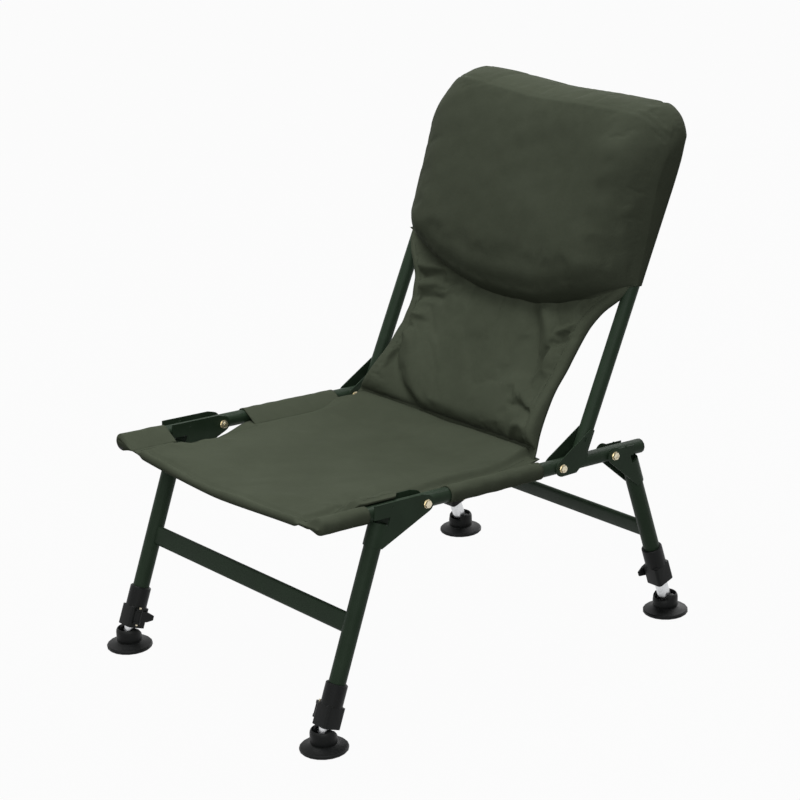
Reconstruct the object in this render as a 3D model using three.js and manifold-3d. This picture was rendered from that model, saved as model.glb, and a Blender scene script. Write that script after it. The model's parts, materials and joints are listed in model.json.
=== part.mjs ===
// Low folding fishing chair: two side rails carry a slung seat, two folding leg frames
// with telescopic feet, and a folding backrest with a head pillow.
// Millimetres, +Z up, the sitter faces -Y, the sitter's left hand is +X.

import * as THREE from 'three';
import * as BufferGeometryUtils from 'three/addons/utils/BufferGeometryUtils.js';
import Module from 'manifold-3d';

const wasm = await Module();
wasm.setup();

// Clearances and overruns
const fitGap = 0.3;
const slideGap = 0.3;
const clothGap = 0.5;
const cutOverrun = 4;
const fuseDepth = 0.4;
const weldReach = 0.0001;

// Side rails, measured along the rail from the backrest pivot
const railSpacing = 482;
const railDiameter = 22;
const railWall = 1.5;
const railPivotHeight = 299.5;
const railSlopeDegrees = 3.82;
const railAhead = 437;
const railBehind = 169.5;
const frontPivotAhead = 261;
const rearPivotBehind = 105;
const capThickness = 2.4;
const capPlugDepth = 12;
const capEdge = 0.9;

// Leg frames
const legDiameter = 25;
const legWall = 1.5;
const frontLegLeanDegrees = 21.6;
const rearLegLeanDegrees = 17.2;
const frontLegOffset = 67;
const rearLegOffset = 35;
const crossbarHeight = 29;
const crossbarDepth = 10;
const crossbarWall = 1.2;
const frontCrossbarRise = 182;
const rearCrossbarRise = 155;

// Telescopic tubes: each clamp's clearance is measured along the leg from the foot's cheeks
const innerTubeDiameter = 20;
const innerTubeWall = 1.5;
const innerTubeLength = 230;
const innerTubeBelowPin = 8;
const frontClampClearance = 1.45;
const rearClampClearance = 26;

// Sheet brackets, bent round a tube
const bracketSheet = 1.5;
const bracketReach = 72;
const bracketFoot = 6;
const lobeRadius = 12.5;
const frontEarLength = 94;
const rearEarLength = 40;
const frontEarRise = 15;
const rearEarRise = 9.5;
const earDrop = 6;
const earLeadIn = 9;
const reliefReach = 6;
const dimpleAlongRail = 62;
const rearDimpleAlongRail = 24;
const dimpleRise = 8;
const dimpleRadius = 3;
const dimpleDepth = 1.1;
const backBracketReach = 67;
const backBracketFlange = 8;
const backBracketTopReach = 3;
const backBracketKneeReach = 5;
const backBracketKneeRise = 9;
const backRivetRise = 50;
const backRivetReach = 5;
const rivetHeadRadius = 3;
const rivetHeadHeight = 1.1;

// Pivot bolts and nuts
const boltDiameter = 6;
const boltHole = 6.6;
const washerRadius = 6.6;
const washerThickness = 1;
const hexFlats = 10;
const boltHeadHeight = 4;
const nutHeight = 5;
const boltEndProud = 1.6;
const hexChamfer = 0.8;

// Backrest
const backTiltDegrees = 26.1;
const backOffset = 35.6;
const backTubeDiameter = 22;
const backTubeWall = 1.5;
const backTubeRise = 541;
const backBendRadius = 72;

// Leg clamps: a moulded socket over a block, with a cam lever on the inner side
const clampHeight = 63;
const clampSocketRadius = 16;
const clampSocketDepth = 28;
const clampRimChamfer = 1.2;
const clampBlockHeight = 31;
const clampShoulder = 4.5;
const clampBlockHalfWidth = 15;
const clampBlockHalfDepth = 15.5;
const clampBlockCorner = 4.5;
const cornerChordShare = 0.9;
const leverRise = 19;
const leverHeight = 15;
const leverEarThickness = 4;
const leverEarRadius = 4.8;
const leverPinOut = 4.5;
const leverPinAside = 5.5;
const leverPinRadius = 1.8;
const leverPinProud = 2.5;
const leverBossRadius = 4.2;
const camRadius = 5.3;
const camReach = 4.5;
const camWindowEnd = 4;
const leverThickness = 5;
const leverTipReach = 23;
const leverCurlStart = 12;
const leverCurl = 3.5;
const leverTipThickness = 2.6;
const leverTipTaper = 4;

// Feet
const footRadius = 35;
const footRimThickness = 6;
const footRimRound = 1.5;
const footBootFlareRadius = 23;
const footBootFlareHeight = 8;
const footBootRadius = 19;
const footBootHeight = 10.5;
const footWallHeight = 18;
const footCheekRadius = 12;
const footShoulderDrop = 5;
const footShoulderInset = 2.6;
const footPocketGap = 0.8;
const footPinHeight = 20.5;
const footPinDiameter = 5;
const footPinHeadRadius = 4;
const footPinHeadHeight = 1.6;
const footPinSink = 3.2;

// Seat, in the frame of the rails
const seatBoxThickness = 12;
const seatBandThickness = 3.2;
const seatSeamIn = 52;
const seatSag = 18;
const seatEdgeDrop = 5;
const sleeveWall = 2;
const sleeveStart = 436;
const sleeveEndAhead = 42;
const frontSleeveLength = 71;
const rearSleeveAhead = 211;
const notchDepth = 41;
const notchTaper = 14;
const notchMouth = 15;
const seatRearReach = 14;
const lipHeight = 26;
const lipHalfWidth = 203;
const lipEaseShare = 0.25;
const seatHemShare = 0.025;
const seatHemThinShare = 0.25;
const seatBowPower = 2.4;

// Back panel and head pillow, in the frame of the back tube
const panelThickness = 10;
const panelHemThickness = 3;
const panelHemWidth = 25;
const panelWaist = 196;
const panelBottomHalfWidth = 204;
const panelBottomRise = 44;
const panelWaistRise = 147;
const panelTopGap = 7;
const panelBottomForward = 50;
const panelWaistForward = 24;
const panelTopForward = 1;
const panelDish = 21;
const pillowSideAllowance = 2;
const pillowTopNarrowing = 11;
const pillowTopRise = 562;
const pillowCrest = 6;
const pillowHemRise = 213;
const pillowSideHemRise = 287;
const pillowCorner = 58;
const pillowTopRound = 78;
const pillowWrap = 13;
const pillowFlapBack = 14;
const pillowRearHemRise = 291;
const pillowSideForward = 4;
const pillowSideTopForward = 38;
const pillowHemForward = 58;
const pillowTopForward = 82;
const pillowSwell = 105;
const pillowSwellPower = 2.2;
const pillowHemTuck = 36;
const pillowHemRound = 30;
const pillowCornerEase = 135;

// Finish colours
const frameGreen = 0x1c2620;
const clothOlive = 0x3d4436;
const clothDark = 0x2b3127;
const blackPlastic = 0x161817;
const zincYellow = 0xb9ae8a;
const tubeSilver = 0xb8babb;

const seatColumns = 18;
const panelColumns = 16;
const panelRows = 12;
const tubeSides = 20;
const boltSides = 10;
const coneSides = 12;
const dimpleSides = 8;
const bendSteps = 4;
const cornerSteps = 4;
const lobeSteps = 8;
const halfTurn = Math.PI;
const radians = THREE.MathUtils.degToRad;

// Geometry helpers

function solidOf(geometry) {
  const bare = geometry.clone();
  bare.deleteAttribute('normal');
  bare.deleteAttribute('uv');
  const merged = BufferGeometryUtils.mergeVertices(bare, weldReach);
  const mesh = new wasm.Mesh({
    numProp: 3,
    vertProperties: new Float32Array(merged.attributes.position.array),
    triVerts: new Uint32Array(merged.index.array),
  });
  return new wasm.Manifold(mesh);
}

function geometryOf(solid) {
  const mesh = solid.getMesh();
  const geometry = new THREE.BufferGeometry();
  const positions = new Float32Array(mesh.numVert * 3);
  for (let vertex = 0; vertex < mesh.numVert; vertex += 1) {
    for (let axis = 0; axis < 3; axis += 1) {
      positions[vertex * 3 + axis] = mesh.vertProperties[vertex * mesh.numProp + axis];
    }
  }
  geometry.setAttribute('position', new THREE.BufferAttribute(positions, 3));
  geometry.setIndex(new THREE.BufferAttribute(new Uint32Array(mesh.triVerts), 1));
  return geometry;
}

function joined(first, ...others) {
  return geometryOf(others.reduce((body, other) => body.add(solidOf(other)), solidOf(first)));
}

function cut(first, ...others) {
  return geometryOf(others.reduce((body, other) => body.subtract(solidOf(other)), solidOf(first)));
}

function common(first, second) {
  return geometryOf(solidOf(first).intersect(solidOf(second)));
}

function mirrored(geometry, axis) {
  const copy = geometry.index ? geometry.clone() : BufferGeometryUtils.mergeVertices(geometry.clone(), weldReach);
  copy.deleteAttribute('normal');
  const positions = copy.attributes.position;
  for (let vertex = 0; vertex < positions.count; vertex += 1) {
    positions.setComponent(vertex, axis, -positions.getComponent(vertex, axis));
  }
  const index = copy.index.array;
  for (let corner = 0; corner < index.length; corner += 3) {
    [index[corner], index[corner + 1]] = [index[corner + 1], index[corner]];
  }
  return copy;
}

function circle(radius, x = 0, y = 0) {
  const shape = new THREE.Shape();
  shape.absarc(x, y, radius, 0, 2 * halfTurn, false);
  return shape;
}

function circleHole(radius, x = 0, y = 0) {
  const path = new THREE.Path();
  path.absarc(x, y, radius, 0, 2 * halfTurn, true);
  return path;
}

function hexagon(flats) {
  const radius = flats / Math.sqrt(3);
  const corners = [];
  for (let corner = 0; corner < 6; corner += 1) {
    const turn = (corner * halfTurn) / 3;
    corners.push(new THREE.Vector2(radius * Math.cos(turn), radius * Math.sin(turn)));
  }
  return new THREE.Shape(corners);
}

function polygon(points) {
  return new THREE.Shape(points.map(([x, y]) => new THREE.Vector2(x, y)));
}

function arcPoints(centreX, centreY, radius, from, to, count) {
  const points = [];
  for (let step = 0; step <= count; step += 1) {
    const turn = from + ((to - from) * step) / count;
    points.push([centreX + radius * Math.cos(turn), centreY + radius * Math.sin(turn)]);
  }
  return points;
}

function roundedRectangle(left, right, low, high, corner) {
  const centres = [
    [right - corner, low + corner],
    [right - corner, high - corner],
    [left + corner, high - corner],
    [left + corner, low + corner],
  ];
  const points = centres.flatMap(([x, y], quarter) => {
    const start = ((quarter - 1) * halfTurn) / 2;
    return arcPoints(x, y, corner, start, start + halfTurn / 2, cornerSteps);
  });
  return polygon(points);
}

// A prism of a shape from one height to another, standing on the XY plane
function prism(shape, low, high, sides = tubeSides) {
  const geometry = new THREE.ExtrudeGeometry(shape, {
    depth: high - low,
    bevelEnabled: false,
    curveSegments: sides / 2,
  });
  return geometry.translate(0, 0, low);
}

// The same prism laid across the chair: the shape's axes become Y and Z, and it runs along X
function crossPrism(shape, low, high, sides = tubeSides) {
  const turn = new THREE.Matrix4().makeBasis(
    new THREE.Vector3(0, 1, 0),
    new THREE.Vector3(0, 0, 1),
    new THREE.Vector3(1, 0, 0),
  );
  return prism(shape, low, high, sides).applyMatrix4(turn);
}

// The same prism laid along the chair: the shape's axes become Z and X, and it runs along Y
function longPrism(shape, low, high, sides = tubeSides) {
  const turn = new THREE.Matrix4().makeBasis(
    new THREE.Vector3(0, 0, 1),
    new THREE.Vector3(1, 0, 0),
    new THREE.Vector3(0, 1, 0),
  );
  return prism(shape, low, high, sides).applyMatrix4(turn);
}

function ringShape(outerRadius, innerRadius) {
  const shape = circle(outerRadius);
  shape.holes.push(circleHole(innerRadius));
  return shape;
}

// Placing and naming

function finish(colour, roughness, metalness) {
  return { color: colour, roughness, metalness };
}

const finishes = {
  frame: finish(frameGreen, 0.42, 0.35),
  cloth: finish(clothOlive, 0.85, 0),
  pillowCloth: finish(clothDark, 0.85, 0),
  plastic: finish(blackPlastic, 0.5, 0),
  zinc: finish(zincYellow, 0.35, 0.9),
  silver: finish(tubeSilver, 0.3, 0.9),
};

function piece(name, geometry, look) {
  const mesh = new THREE.Mesh(geometry, new THREE.MeshStandardMaterial(look));
  mesh.name = name;
  return mesh;
}

const sides = [
  { label: 'left', sign: 1 },
  { label: 'right', sign: -1 },
];

// The frame of the rails has its origin between the backrest pivots and +Y back along the rails
const railSlope = radians(railSlopeDegrees);
const railRadius = railDiameter / 2;
const railX = railSpacing / 2;

function railPoint(along) {
  return {
    y: along * Math.cos(railSlope),
    z: railPivotHeight - along * Math.sin(railSlope),
  };
}

// A leg frame has its origin on the leg's axis, square to the pivot, and +Z up the leg
function legFrame(pivotAlong, leanDegrees, offset, inward) {
  const pivot = railPoint(pivotAlong);
  const lean = radians(leanDegrees);
  const origin = {
    y: pivot.y - inward * offset * Math.cos(lean),
    z: pivot.z + offset * Math.sin(lean),
  };
  return {
    pivot,
    origin,
    inward,
    offset,
    turn: -inward * lean,
    length: origin.z / Math.cos(lean),
    pinRise: footPinHeight / Math.cos(lean),
    footY: origin.y - inward * (origin.z - footPinHeight) * Math.tan(lean),
    railAngle: lean - inward * railSlope,
  };
}

const frontLeg = legFrame(-frontPivotAhead, frontLegLeanDegrees, frontLegOffset, 1);
const rearLeg = legFrame(rearPivotBehind, rearLegLeanDegrees, rearLegOffset, -1);

// Rails

function railGeometry() {
  const tube = longPrism(ringShape(railRadius, railRadius - railWall), -railAhead, railBehind);
  const holes = [-frontPivotAhead, 0, rearPivotBehind].map((along) =>
    crossPrism(circle(boltHole / 2), -railDiameter, railDiameter, boltSides).translate(0, along, 0),
  );
  return cut(tube, ...holes);
}

function capGeometry() {
  const plug = railRadius - railWall - fitGap;
  const profile = [
    [0, -capPlugDepth],
    [plug, -capPlugDepth],
    [plug, fitGap],
    [railRadius, fitGap],
    [railRadius, capThickness + fitGap - capEdge],
    [railRadius - capEdge, capThickness + fitGap],
    [0, capThickness + fitGap],
  ];
  const points = profile.map(([radius, height]) => new THREE.Vector2(radius, height));
  return new THREE.LatheGeometry(points, coneSides);
}

// Pivot bolts: the head is on the outer side, the nut on the inner one

function boltGeometry(flangeOuter) {
  const washerStart = flangeOuter + fitGap;
  const headStart = washerStart + washerThickness;
  const nutEnd = flangeOuter + fitGap + washerThickness + nutHeight;
  const shank = crossPrism(circle(boltDiameter / 2), -nutEnd - boltEndProud, headStart + fuseDepth, boltSides);
  const washer = crossPrism(circle(washerRadius), washerStart, headStart, boltSides);
  const head = chamferedHex(hexFlats, headStart - fuseDepth, headStart + boltHeadHeight);
  return joined(shank, washer, head);
}

function chamferedHex(flats, low, high) {
  const hex = crossPrism(hexagon(flats), low, high, boltSides);
  const corner = flats / Math.sqrt(3);
  const profile = [
    [0, low],
    [corner, low],
    [corner, high - hexChamfer],
    [corner - 2 * hexChamfer, high],
    [0, high],
  ];
  const points = profile.map(([radius, height]) => new THREE.Vector2(radius, height));
  const cone = new THREE.LatheGeometry(points, coneSides).rotateZ(-halfTurn / 2);
  return common(hex, cone);
}

function nutGeometry(flangeOuter) {
  const washerStart = flangeOuter + fitGap;
  const nutStart = washerStart + washerThickness;
  const washer = crossPrism(circle(washerRadius), washerStart, nutStart, boltSides);
  const hex = chamferedHex(hexFlats, nutStart - fuseDepth, nutStart + nutHeight);
  const hole = crossPrism(circle(boltDiameter / 2 + fitGap), 0, railSpacing, boltSides);
  return mirrored(cut(joined(washer, hex), hole), 0);
}

// Leg tubes, crossbars and inner tubes, in a leg frame

function railUnderside(leg, reach) {
  const axisHeight = -(leg.offset + reach) * Math.tan(leg.railAngle);
  return axisHeight - railRadius / Math.cos(leg.railAngle);
}

function legTop(leg) {
  return railUnderside(leg, legDiameter / 2) - fitGap;
}

function legTubeGeometry(leg, clampRise) {
  const low = -leg.length + clampRise + clampHeight - clampSocketDepth + fitGap;
  const radius = legDiameter / 2;
  return prism(ringShape(radius, radius - legWall), low, legTop(leg));
}

function crossbarGeometry(leg, rise) {
  const depth = crossbarDepth / 2;
  const height = crossbarHeight / 2;
  const outer = roundedRectangle(-depth, depth, -height, height, depth);
  const inner = roundedRectangle(
    -depth + crossbarWall,
    depth - crossbarWall,
    -height + crossbarWall,
    height - crossbarWall,
    depth - crossbarWall,
  );
  outer.holes.push(inner);
  const bar = crossPrism(outer, -railX, railX).translate(0, 0, rise - leg.length);
  const copes = sides.map(({ sign }) =>
    prism(circle(legDiameter / 2 + fitGap), -leg.length, 0).translate(sign * railX, 0, 0),
  );
  return cut(bar, ...copes);
}

function innerTubeGeometry(leg) {
  const radius = innerTubeDiameter / 2;
  const low = leg.pinRise - innerTubeBelowPin - leg.length;
  const tube = prism(ringShape(radius, radius - innerTubeWall), low, low + innerTubeLength);
  const pinHole = crossPrism(circle(footPinDiameter / 2 + fitGap), -innerTubeDiameter, innerTubeDiameter, boltSides);
  return cut(tube, pinHole.translate(0, 0, leg.pinRise - leg.length));
}

// Leg brackets: a sheet bent round the front of the leg, whose two flanges straddle the rail

const legBracketInner = legDiameter / 2 + fitGap;
const legBracketOuter = legBracketInner + bracketSheet;

// A point of the side outline, given along the rail away from the seat and above its axis
function outlinePoint(leg, along, above) {
  const c = Math.cos(leg.railAngle);
  const s = Math.sin(leg.railAngle);
  return [leg.offset - along * c - above * s, -along * s + above * c];
}

// The turn at which a line from a point touches a circle on its near or its far hand
function tangentTurn(centreX, centreY, [toX, toY], radius, hand) {
  const distance = Math.hypot(toX - centreX, toY - centreY);
  return Math.atan2(toY - centreY, toX - centreX) + hand * Math.acos(radius / distance);
}

// The rounded end of a bracket: from the tangent of one point round to that of another
function lobePoints(centreX, start, end) {
  const from = tangentTurn(centreX, 0, start, lobeRadius, 1);
  let to = tangentTurn(centreX, 0, end, lobeRadius, -1);
  while (to < from) {
    to += 2 * halfTurn;
  }
  while (to - from > 2 * halfTurn) {
    to -= 2 * halfTurn;
  }
  return arcPoints(centreX, 0, lobeRadius, from, to, lobeSteps);
}

function flangeShape(leg, earLength, earRise) {
  const webTop = railUnderside(leg, legBracketOuter) - fitGap;
  const bottom = -bracketReach;
  const topEnd = outlinePoint(leg, earLength, earRise);
  const topStart = outlinePoint(leg, earLeadIn, earRise);
  const lipEnd = outlinePoint(leg, earLength, -earDrop);
  const lipSlope = Math.tan(leg.railAngle);
  const lipAtRelief = lipEnd[1] + (reliefReach - lipEnd[0]) * lipSlope;
  const lobe = lobePoints(leg.offset, [bracketFoot, bottom], topStart);
  const points = [
    [0, bottom],
    [bracketFoot, bottom],
    ...lobe,
    topStart,
    topEnd,
    lipEnd,
    [reliefReach, lipAtRelief],
    [reliefReach, webTop],
    [0, webTop],
  ];
  const shape = polygon(points);
  shape.holes.push(circleHole(boltHole / 2, leg.offset, 0));
  return shape;
}

// A half ring with short straight ends that run into the flanges
function webGeometry(outerRadius, innerRadius, low, high) {
  const points = [
    [outerRadius, fuseDepth],
    [innerRadius, fuseDepth],
    ...arcPoints(0, 0, innerRadius, 0, -halfTurn, tubeSides / 2),
    [-innerRadius, fuseDepth],
    [-outerRadius, fuseDepth],
    ...arcPoints(0, 0, outerRadius, halfTurn, 2 * halfTurn, tubeSides / 2),
  ];
  return prism(polygon(points), low, high);
}

// A pressed dimple: a button on the inner face of a flange with a dish behind it
function dimpleTool(innerFace, outerFace, at, radius) {
  const profile = [
    [0, innerFace - dimpleDepth],
    [radius - dimpleDepth, innerFace - dimpleDepth],
    [radius, innerFace + fuseDepth],
    [0, innerFace + fuseDepth],
  ];
  const points = profile.map(([r, height]) => new THREE.Vector2(r, height));
  const button = new THREE.LatheGeometry(points, dimpleSides).rotateZ(-halfTurn / 2);
  const dishProfile = [
    [0, outerFace - dimpleDepth],
    [radius - 2 * dimpleDepth, outerFace - dimpleDepth],
    [radius, outerFace + fuseDepth],
    [0, outerFace + fuseDepth],
  ];
  const dishPoints = dishProfile.map(([r, height]) => new THREE.Vector2(r, height));
  const dish = new THREE.LatheGeometry(dishPoints, dimpleSides).rotateZ(-halfTurn / 2);
  button.translate(0, at[0], at[1]);
  dish.translate(0, at[0], at[1]);
  return { button, dish };
}

function legBracketGeometry(leg, earLength, earRise, dimpleAlong) {
  const shape = flangeShape(leg, earLength, earRise);
  const webTop = railUnderside(leg, legBracketOuter) - fitGap;
  const flange = crossPrism(shape, legBracketInner, legBracketOuter);
  const dimpleAt = outlinePoint(leg, dimpleAlong, dimpleRise);
  const { button, dish } = dimpleTool(legBracketInner, legBracketOuter, dimpleAt, dimpleRadius);
  const pressed = cut(joined(flange, button), dish);
  const web = webGeometry(legBracketOuter, legBracketInner, -bracketReach, webTop);
  return joined(web, pressed, mirrored(pressed, 0));
}

// Clamps, drawn for the left side, whose inner side is -X; the lever points along +Y

const leverPinX = -clampBlockHalfWidth - leverPinOut;
const leverPinY = -leverPinAside;
const leverLow = leverRise - leverHeight / 2;
const leverHigh = leverRise + leverHeight / 2;

function clampBodyGeometry() {
  const width = clampBlockHalfWidth;
  const depth = clampBlockHalfDepth;
  const socketLow = clampHeight - clampSocketDepth;
  const block = prism(roundedRectangle(-width, width, -depth, depth, clampBlockCorner), 0, clampBlockHeight);
  const socket = lathed([
    [0, clampBlockHeight - fuseDepth],
    [clampSocketRadius, clampBlockHeight - fuseDepth],
    [clampSocketRadius, clampHeight - clampRimChamfer],
    [clampSocketRadius - clampRimChamfer, clampHeight],
    [0, clampHeight],
  ]);
  const bore = prism(circle(innerTubeDiameter / 2 + slideGap), -cutOverrun, clampHeight);
  const socketBore = prism(circle(legDiameter / 2 + fitGap), socketLow, clampHeight + cutOverrun);
  const camWindow = prism(
    polygon([
      [-width - cutOverrun, leverPinY - camRadius - fitGap],
      [0, leverPinY - camRadius - fitGap],
      [0, camWindowEnd],
      [-width - cutOverrun, camWindowEnd],
    ]),
    leverLow - fitGap,
    leverHigh + fitGap,
  );
  const pinHole = prism(circle(leverPinRadius + fitGap), 0, clampBlockHeight, boltSides);
  const ears = [leverLow - fitGap - leverEarThickness, leverHigh + fitGap].map(earGeometry);
  const body = joined(block, socket, shoulderGeometry(clampBlockHeight), ...ears);
  return cut(body, bore, socketBore, camWindow, pinHole.translate(leverPinX, leverPinY, 0));
}

// One of the two ears that hold the lever's pin
function earGeometry(low) {
  const inside = -clampBlockHalfWidth + fuseDepth;
  const shape = polygon([
    [inside, leverPinY - leverEarRadius],
    ...arcPoints(leverPinX, leverPinY, leverEarRadius, -halfTurn / 2, -1.5 * halfTurn, lobeSteps),
    [inside, leverPinY + leverEarRadius],
  ]);
  return prism(shape, low, low + leverEarThickness);
}

function lathed(profile, count = tubeSides) {
  const points = profile.map(([radius, height]) => new THREE.Vector2(radius, height));
  return new THREE.LatheGeometry(points, count).rotateX(halfTurn / 2);
}

// The sloped shoulders between the block and the round socket
function shoulderGeometry(base) {
  const corners = (inset, height) => {
    const left = -clampBlockHalfWidth + inset;
    const right = clampBlockHalfWidth - inset;
    const front = -clampBlockHalfDepth + inset;
    const back = clampBlockHalfDepth - inset;
    const cornerCut = clampBlockCorner;
    return [
      [left + cornerCut, front, height],
      [right - cornerCut, front, height],
      [right, front + cornerCut, height],
      [right, back - cornerCut, height],
      [right - cornerCut, back, height],
      [left + cornerCut, back, height],
      [left, back - cornerCut, height],
      [left, front + cornerCut, height],
    ];
  };
  const low = corners(clampBlockCorner * (1 - cornerChordShare), base - fuseDepth);
  const high = corners(clampShoulder, base + clampShoulder);
  return frustum(low, high);
}

// A solid between two rings of corners, both counter-clockwise seen from above
function frustum(low, high) {
  const count = low.length;
  const positions = [...low, ...high].flat();
  const index = [];
  for (let corner = 0; corner < count; corner += 1) {
    const next = (corner + 1) % count;
    index.push(corner, next, count + next, corner, count + next, count + corner);
    if (corner > 0 && corner < count - 1) {
      index.push(0, corner + 1, corner, count, count + corner, count + corner + 1);
    }
  }
  const geometry = new THREE.BufferGeometry();
  geometry.setAttribute('position', new THREE.BufferAttribute(new Float32Array(positions), 3));
  geometry.setIndex(index);
  return geometry;
}

function clampPinGeometry() {
  const low = leverLow - fitGap - leverEarThickness - leverPinProud;
  const high = leverHigh + fitGap + leverEarThickness + leverPinProud;
  return prism(circle(leverPinRadius), low, high, boltSides).translate(leverPinX, leverPinY, 0);
}

// The lever turns on its pin; its cam bears on the inner tube through the window
function clampLeverGeometry() {
  const face = leverPinX + leverBossRadius;
  const arm = prism(
    polygon([
      [face, leverPinY],
      [face, leverCurlStart],
      [face - leverCurl + leverTipThickness / 2, leverTipReach],
      [face - leverCurl - leverTipThickness / 2, leverTipReach],
      [face - leverThickness, leverCurlStart],
      [face - leverThickness - leverTipThickness / 2, leverPinY],
    ]),
    leverLow,
    leverHigh,
  );
  const sideView = crossPrism(
    polygon([
      [leverPinY, leverLow],
      [leverCurlStart, leverLow],
      [leverTipReach, leverLow + leverTipTaper],
      [leverTipReach, leverHigh - leverTipTaper],
      [leverCurlStart, leverHigh],
      [leverPinY, leverHigh],
    ]),
    face - leverTipReach,
    face,
  );
  const tapered = common(arm, sideView);
  const boss = prism(circle(leverBossRadius, leverPinX, leverPinY), leverLow, leverHigh);
  const cam = prism(circle(camRadius, leverPinX + camReach, leverPinY), leverLow, leverHigh);
  const pinHole = prism(circle(leverPinRadius + fitGap), 0, clampBlockHeight, boltSides);
  return cut(joined(tapered, boss, cam), pinHole.translate(leverPinX, leverPinY, 0));
}

// Feet: a dished disc under a round boot, whose two cheeks hold the pin and whose pocket takes the tube's end

const footTop = footPinHeight + footCheekRadius;
const footPocketHalf = innerTubeDiameter / 2 + slideGap;
const footPocketReach = Math.hypot(innerTubeDiameter / 2, innerTubeBelowPin) + footPocketGap;
const footPinSeat = footBootRadius - footPinSink;

function footPocketGeometry() {
  return prism(
    polygon([
      [-footPocketHalf, -footPocketReach],
      [footPocketHalf, -footPocketReach],
      [footPocketHalf, footPocketReach],
      [-footPocketHalf, footPocketReach],
    ]),
    footPinHeight - footPocketReach,
    footTop + cutOverrun,
  );
}

// The side view of the foot: low walls before and behind, and cheeks rounded about the pin
function footSideShape() {
  return polygon([
    [-footRadius, 0],
    [footRadius, 0],
    [footRadius, footWallHeight],
    [footCheekRadius, footWallHeight],
    ...arcPoints(0, footPinHeight, footCheekRadius, 0, halfTurn, lobeSteps),
    [-footCheekRadius, footWallHeight],
    [-footRadius, footWallHeight],
  ]);
}

function footGeometry() {
  const round = lathed([
    [0, 0],
    [footRadius - footRimRound, 0],
    [footRadius, footRimRound],
    [footRadius, footRimThickness - footRimRound],
    [footRadius - footRimRound, footRimThickness],
    [footBootFlareRadius, footBootFlareHeight],
    [footBootRadius, footBootHeight],
    [footBootRadius, footTop - footShoulderDrop],
    [footBootRadius - footShoulderInset, footTop],
    [0, footTop],
  ]);
  const body = common(round, crossPrism(footSideShape(), -footRadius, footRadius));
  const pinHole = crossPrism(
    circle(footPinDiameter / 2 + fitGap, 0, footPinHeight),
    -footRadius,
    footRadius,
    boltSides,
  );
  const headRecess = circle(footPinHeadRadius + fitGap, 0, footPinHeight);
  const recesses = [
    crossPrism(headRecess, footPinSeat, footRadius, boltSides),
    crossPrism(headRecess, -footRadius, -footPinSeat, boltSides),
  ];
  return cut(body, footPocketGeometry(), pinHole, ...recesses);
}

function footPinGeometry() {
  const reach = footPinSeat + fitGap;
  const shank = crossPrism(circle(footPinDiameter / 2), -reach - fuseDepth, reach + fuseDepth, boltSides);
  const heads = [
    crossPrism(circle(footPinHeadRadius), reach, reach + footPinHeadHeight, boltSides),
    crossPrism(circle(footPinHeadRadius), -reach - footPinHeadHeight, -reach, boltSides),
  ];
  return joined(shank, ...heads);
}

// Backrest: the frame of the back tube has its origin square to the pivot and +Z up the tube

const backTilt = radians(backTiltDegrees);
const backAngle = backTilt - railSlope;
const backTubeRadius = backTubeDiameter / 2;
const backBracketInner = backTubeRadius + fitGap;
const pillowHalfWidth = railX + backTubeRadius + pillowSideAllowance;
const pillowTopHalfWidth = pillowHalfWidth - pillowTopNarrowing;
const backBracketOuter = backBracketInner + bracketSheet;
const backOrigin = {
  y: backOffset * Math.cos(backTilt),
  z: railPivotHeight - backOffset * Math.sin(backTilt),
};

function railTopside(reach) {
  return (backOffset + reach) * Math.tan(backAngle) + railRadius / Math.cos(backAngle);
}

// A path that a section follows from station to station, whatever their spacing
class StationPath extends THREE.Curve {
  constructor(stations) {
    super();
    this.stations = stations;
  }

  getUtoTmapping(u) {
    return u;
  }

  getPoint(t) {
    const last = this.stations.length - 1;
    const from = Math.min(Math.floor(t * last), last - 1);
    return new THREE.Vector3().lerpVectors(this.stations[from].at, this.stations[from + 1].at, t * last - from);
  }

  getTangent(t) {
    const last = this.stations.length - 1;
    return this.stations[Math.round(t * last)].along.clone();
  }
}

// An upright U: up one side, round two bends and down the other side
function backTubePath(low) {
  const x = railX - backBendRadius;
  const z = backTubeRise - backBendRadius;
  const stations = [{ at: new THREE.Vector3(-railX, 0, low), along: new THREE.Vector3(0, 0, 1) }];
  for (const [centre, start] of [
    [-x, halfTurn],
    [x, halfTurn / 2],
  ]) {
    for (let step = 0; step <= bendSteps; step += 1) {
      const turn = start - (halfTurn / 2) * (step / bendSteps);
      const out = new THREE.Vector3(Math.cos(turn), 0, Math.sin(turn));
      stations.push({
        at: out.clone().multiplyScalar(backBendRadius).add(new THREE.Vector3(centre, 0, z)),
        along: new THREE.Vector3(out.z, 0, -out.x),
      });
    }
  }
  stations.push({ at: new THREE.Vector3(railX, 0, low), along: new THREE.Vector3(0, 0, -1) });
  return new StationPath(stations);
}

function alongPath(shape, path) {
  return new THREE.ExtrudeGeometry(shape, {
    steps: path.stations.length - 1,
    extrudePath: path,
    curveSegments: tubeSides / 2,
  });
}

function backTubeGeometry() {
  const low = railTopside(backTubeRadius) + fitGap;
  return alongPath(ringShape(backTubeRadius, backTubeRadius - backTubeWall), backTubePath(low));
}

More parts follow.
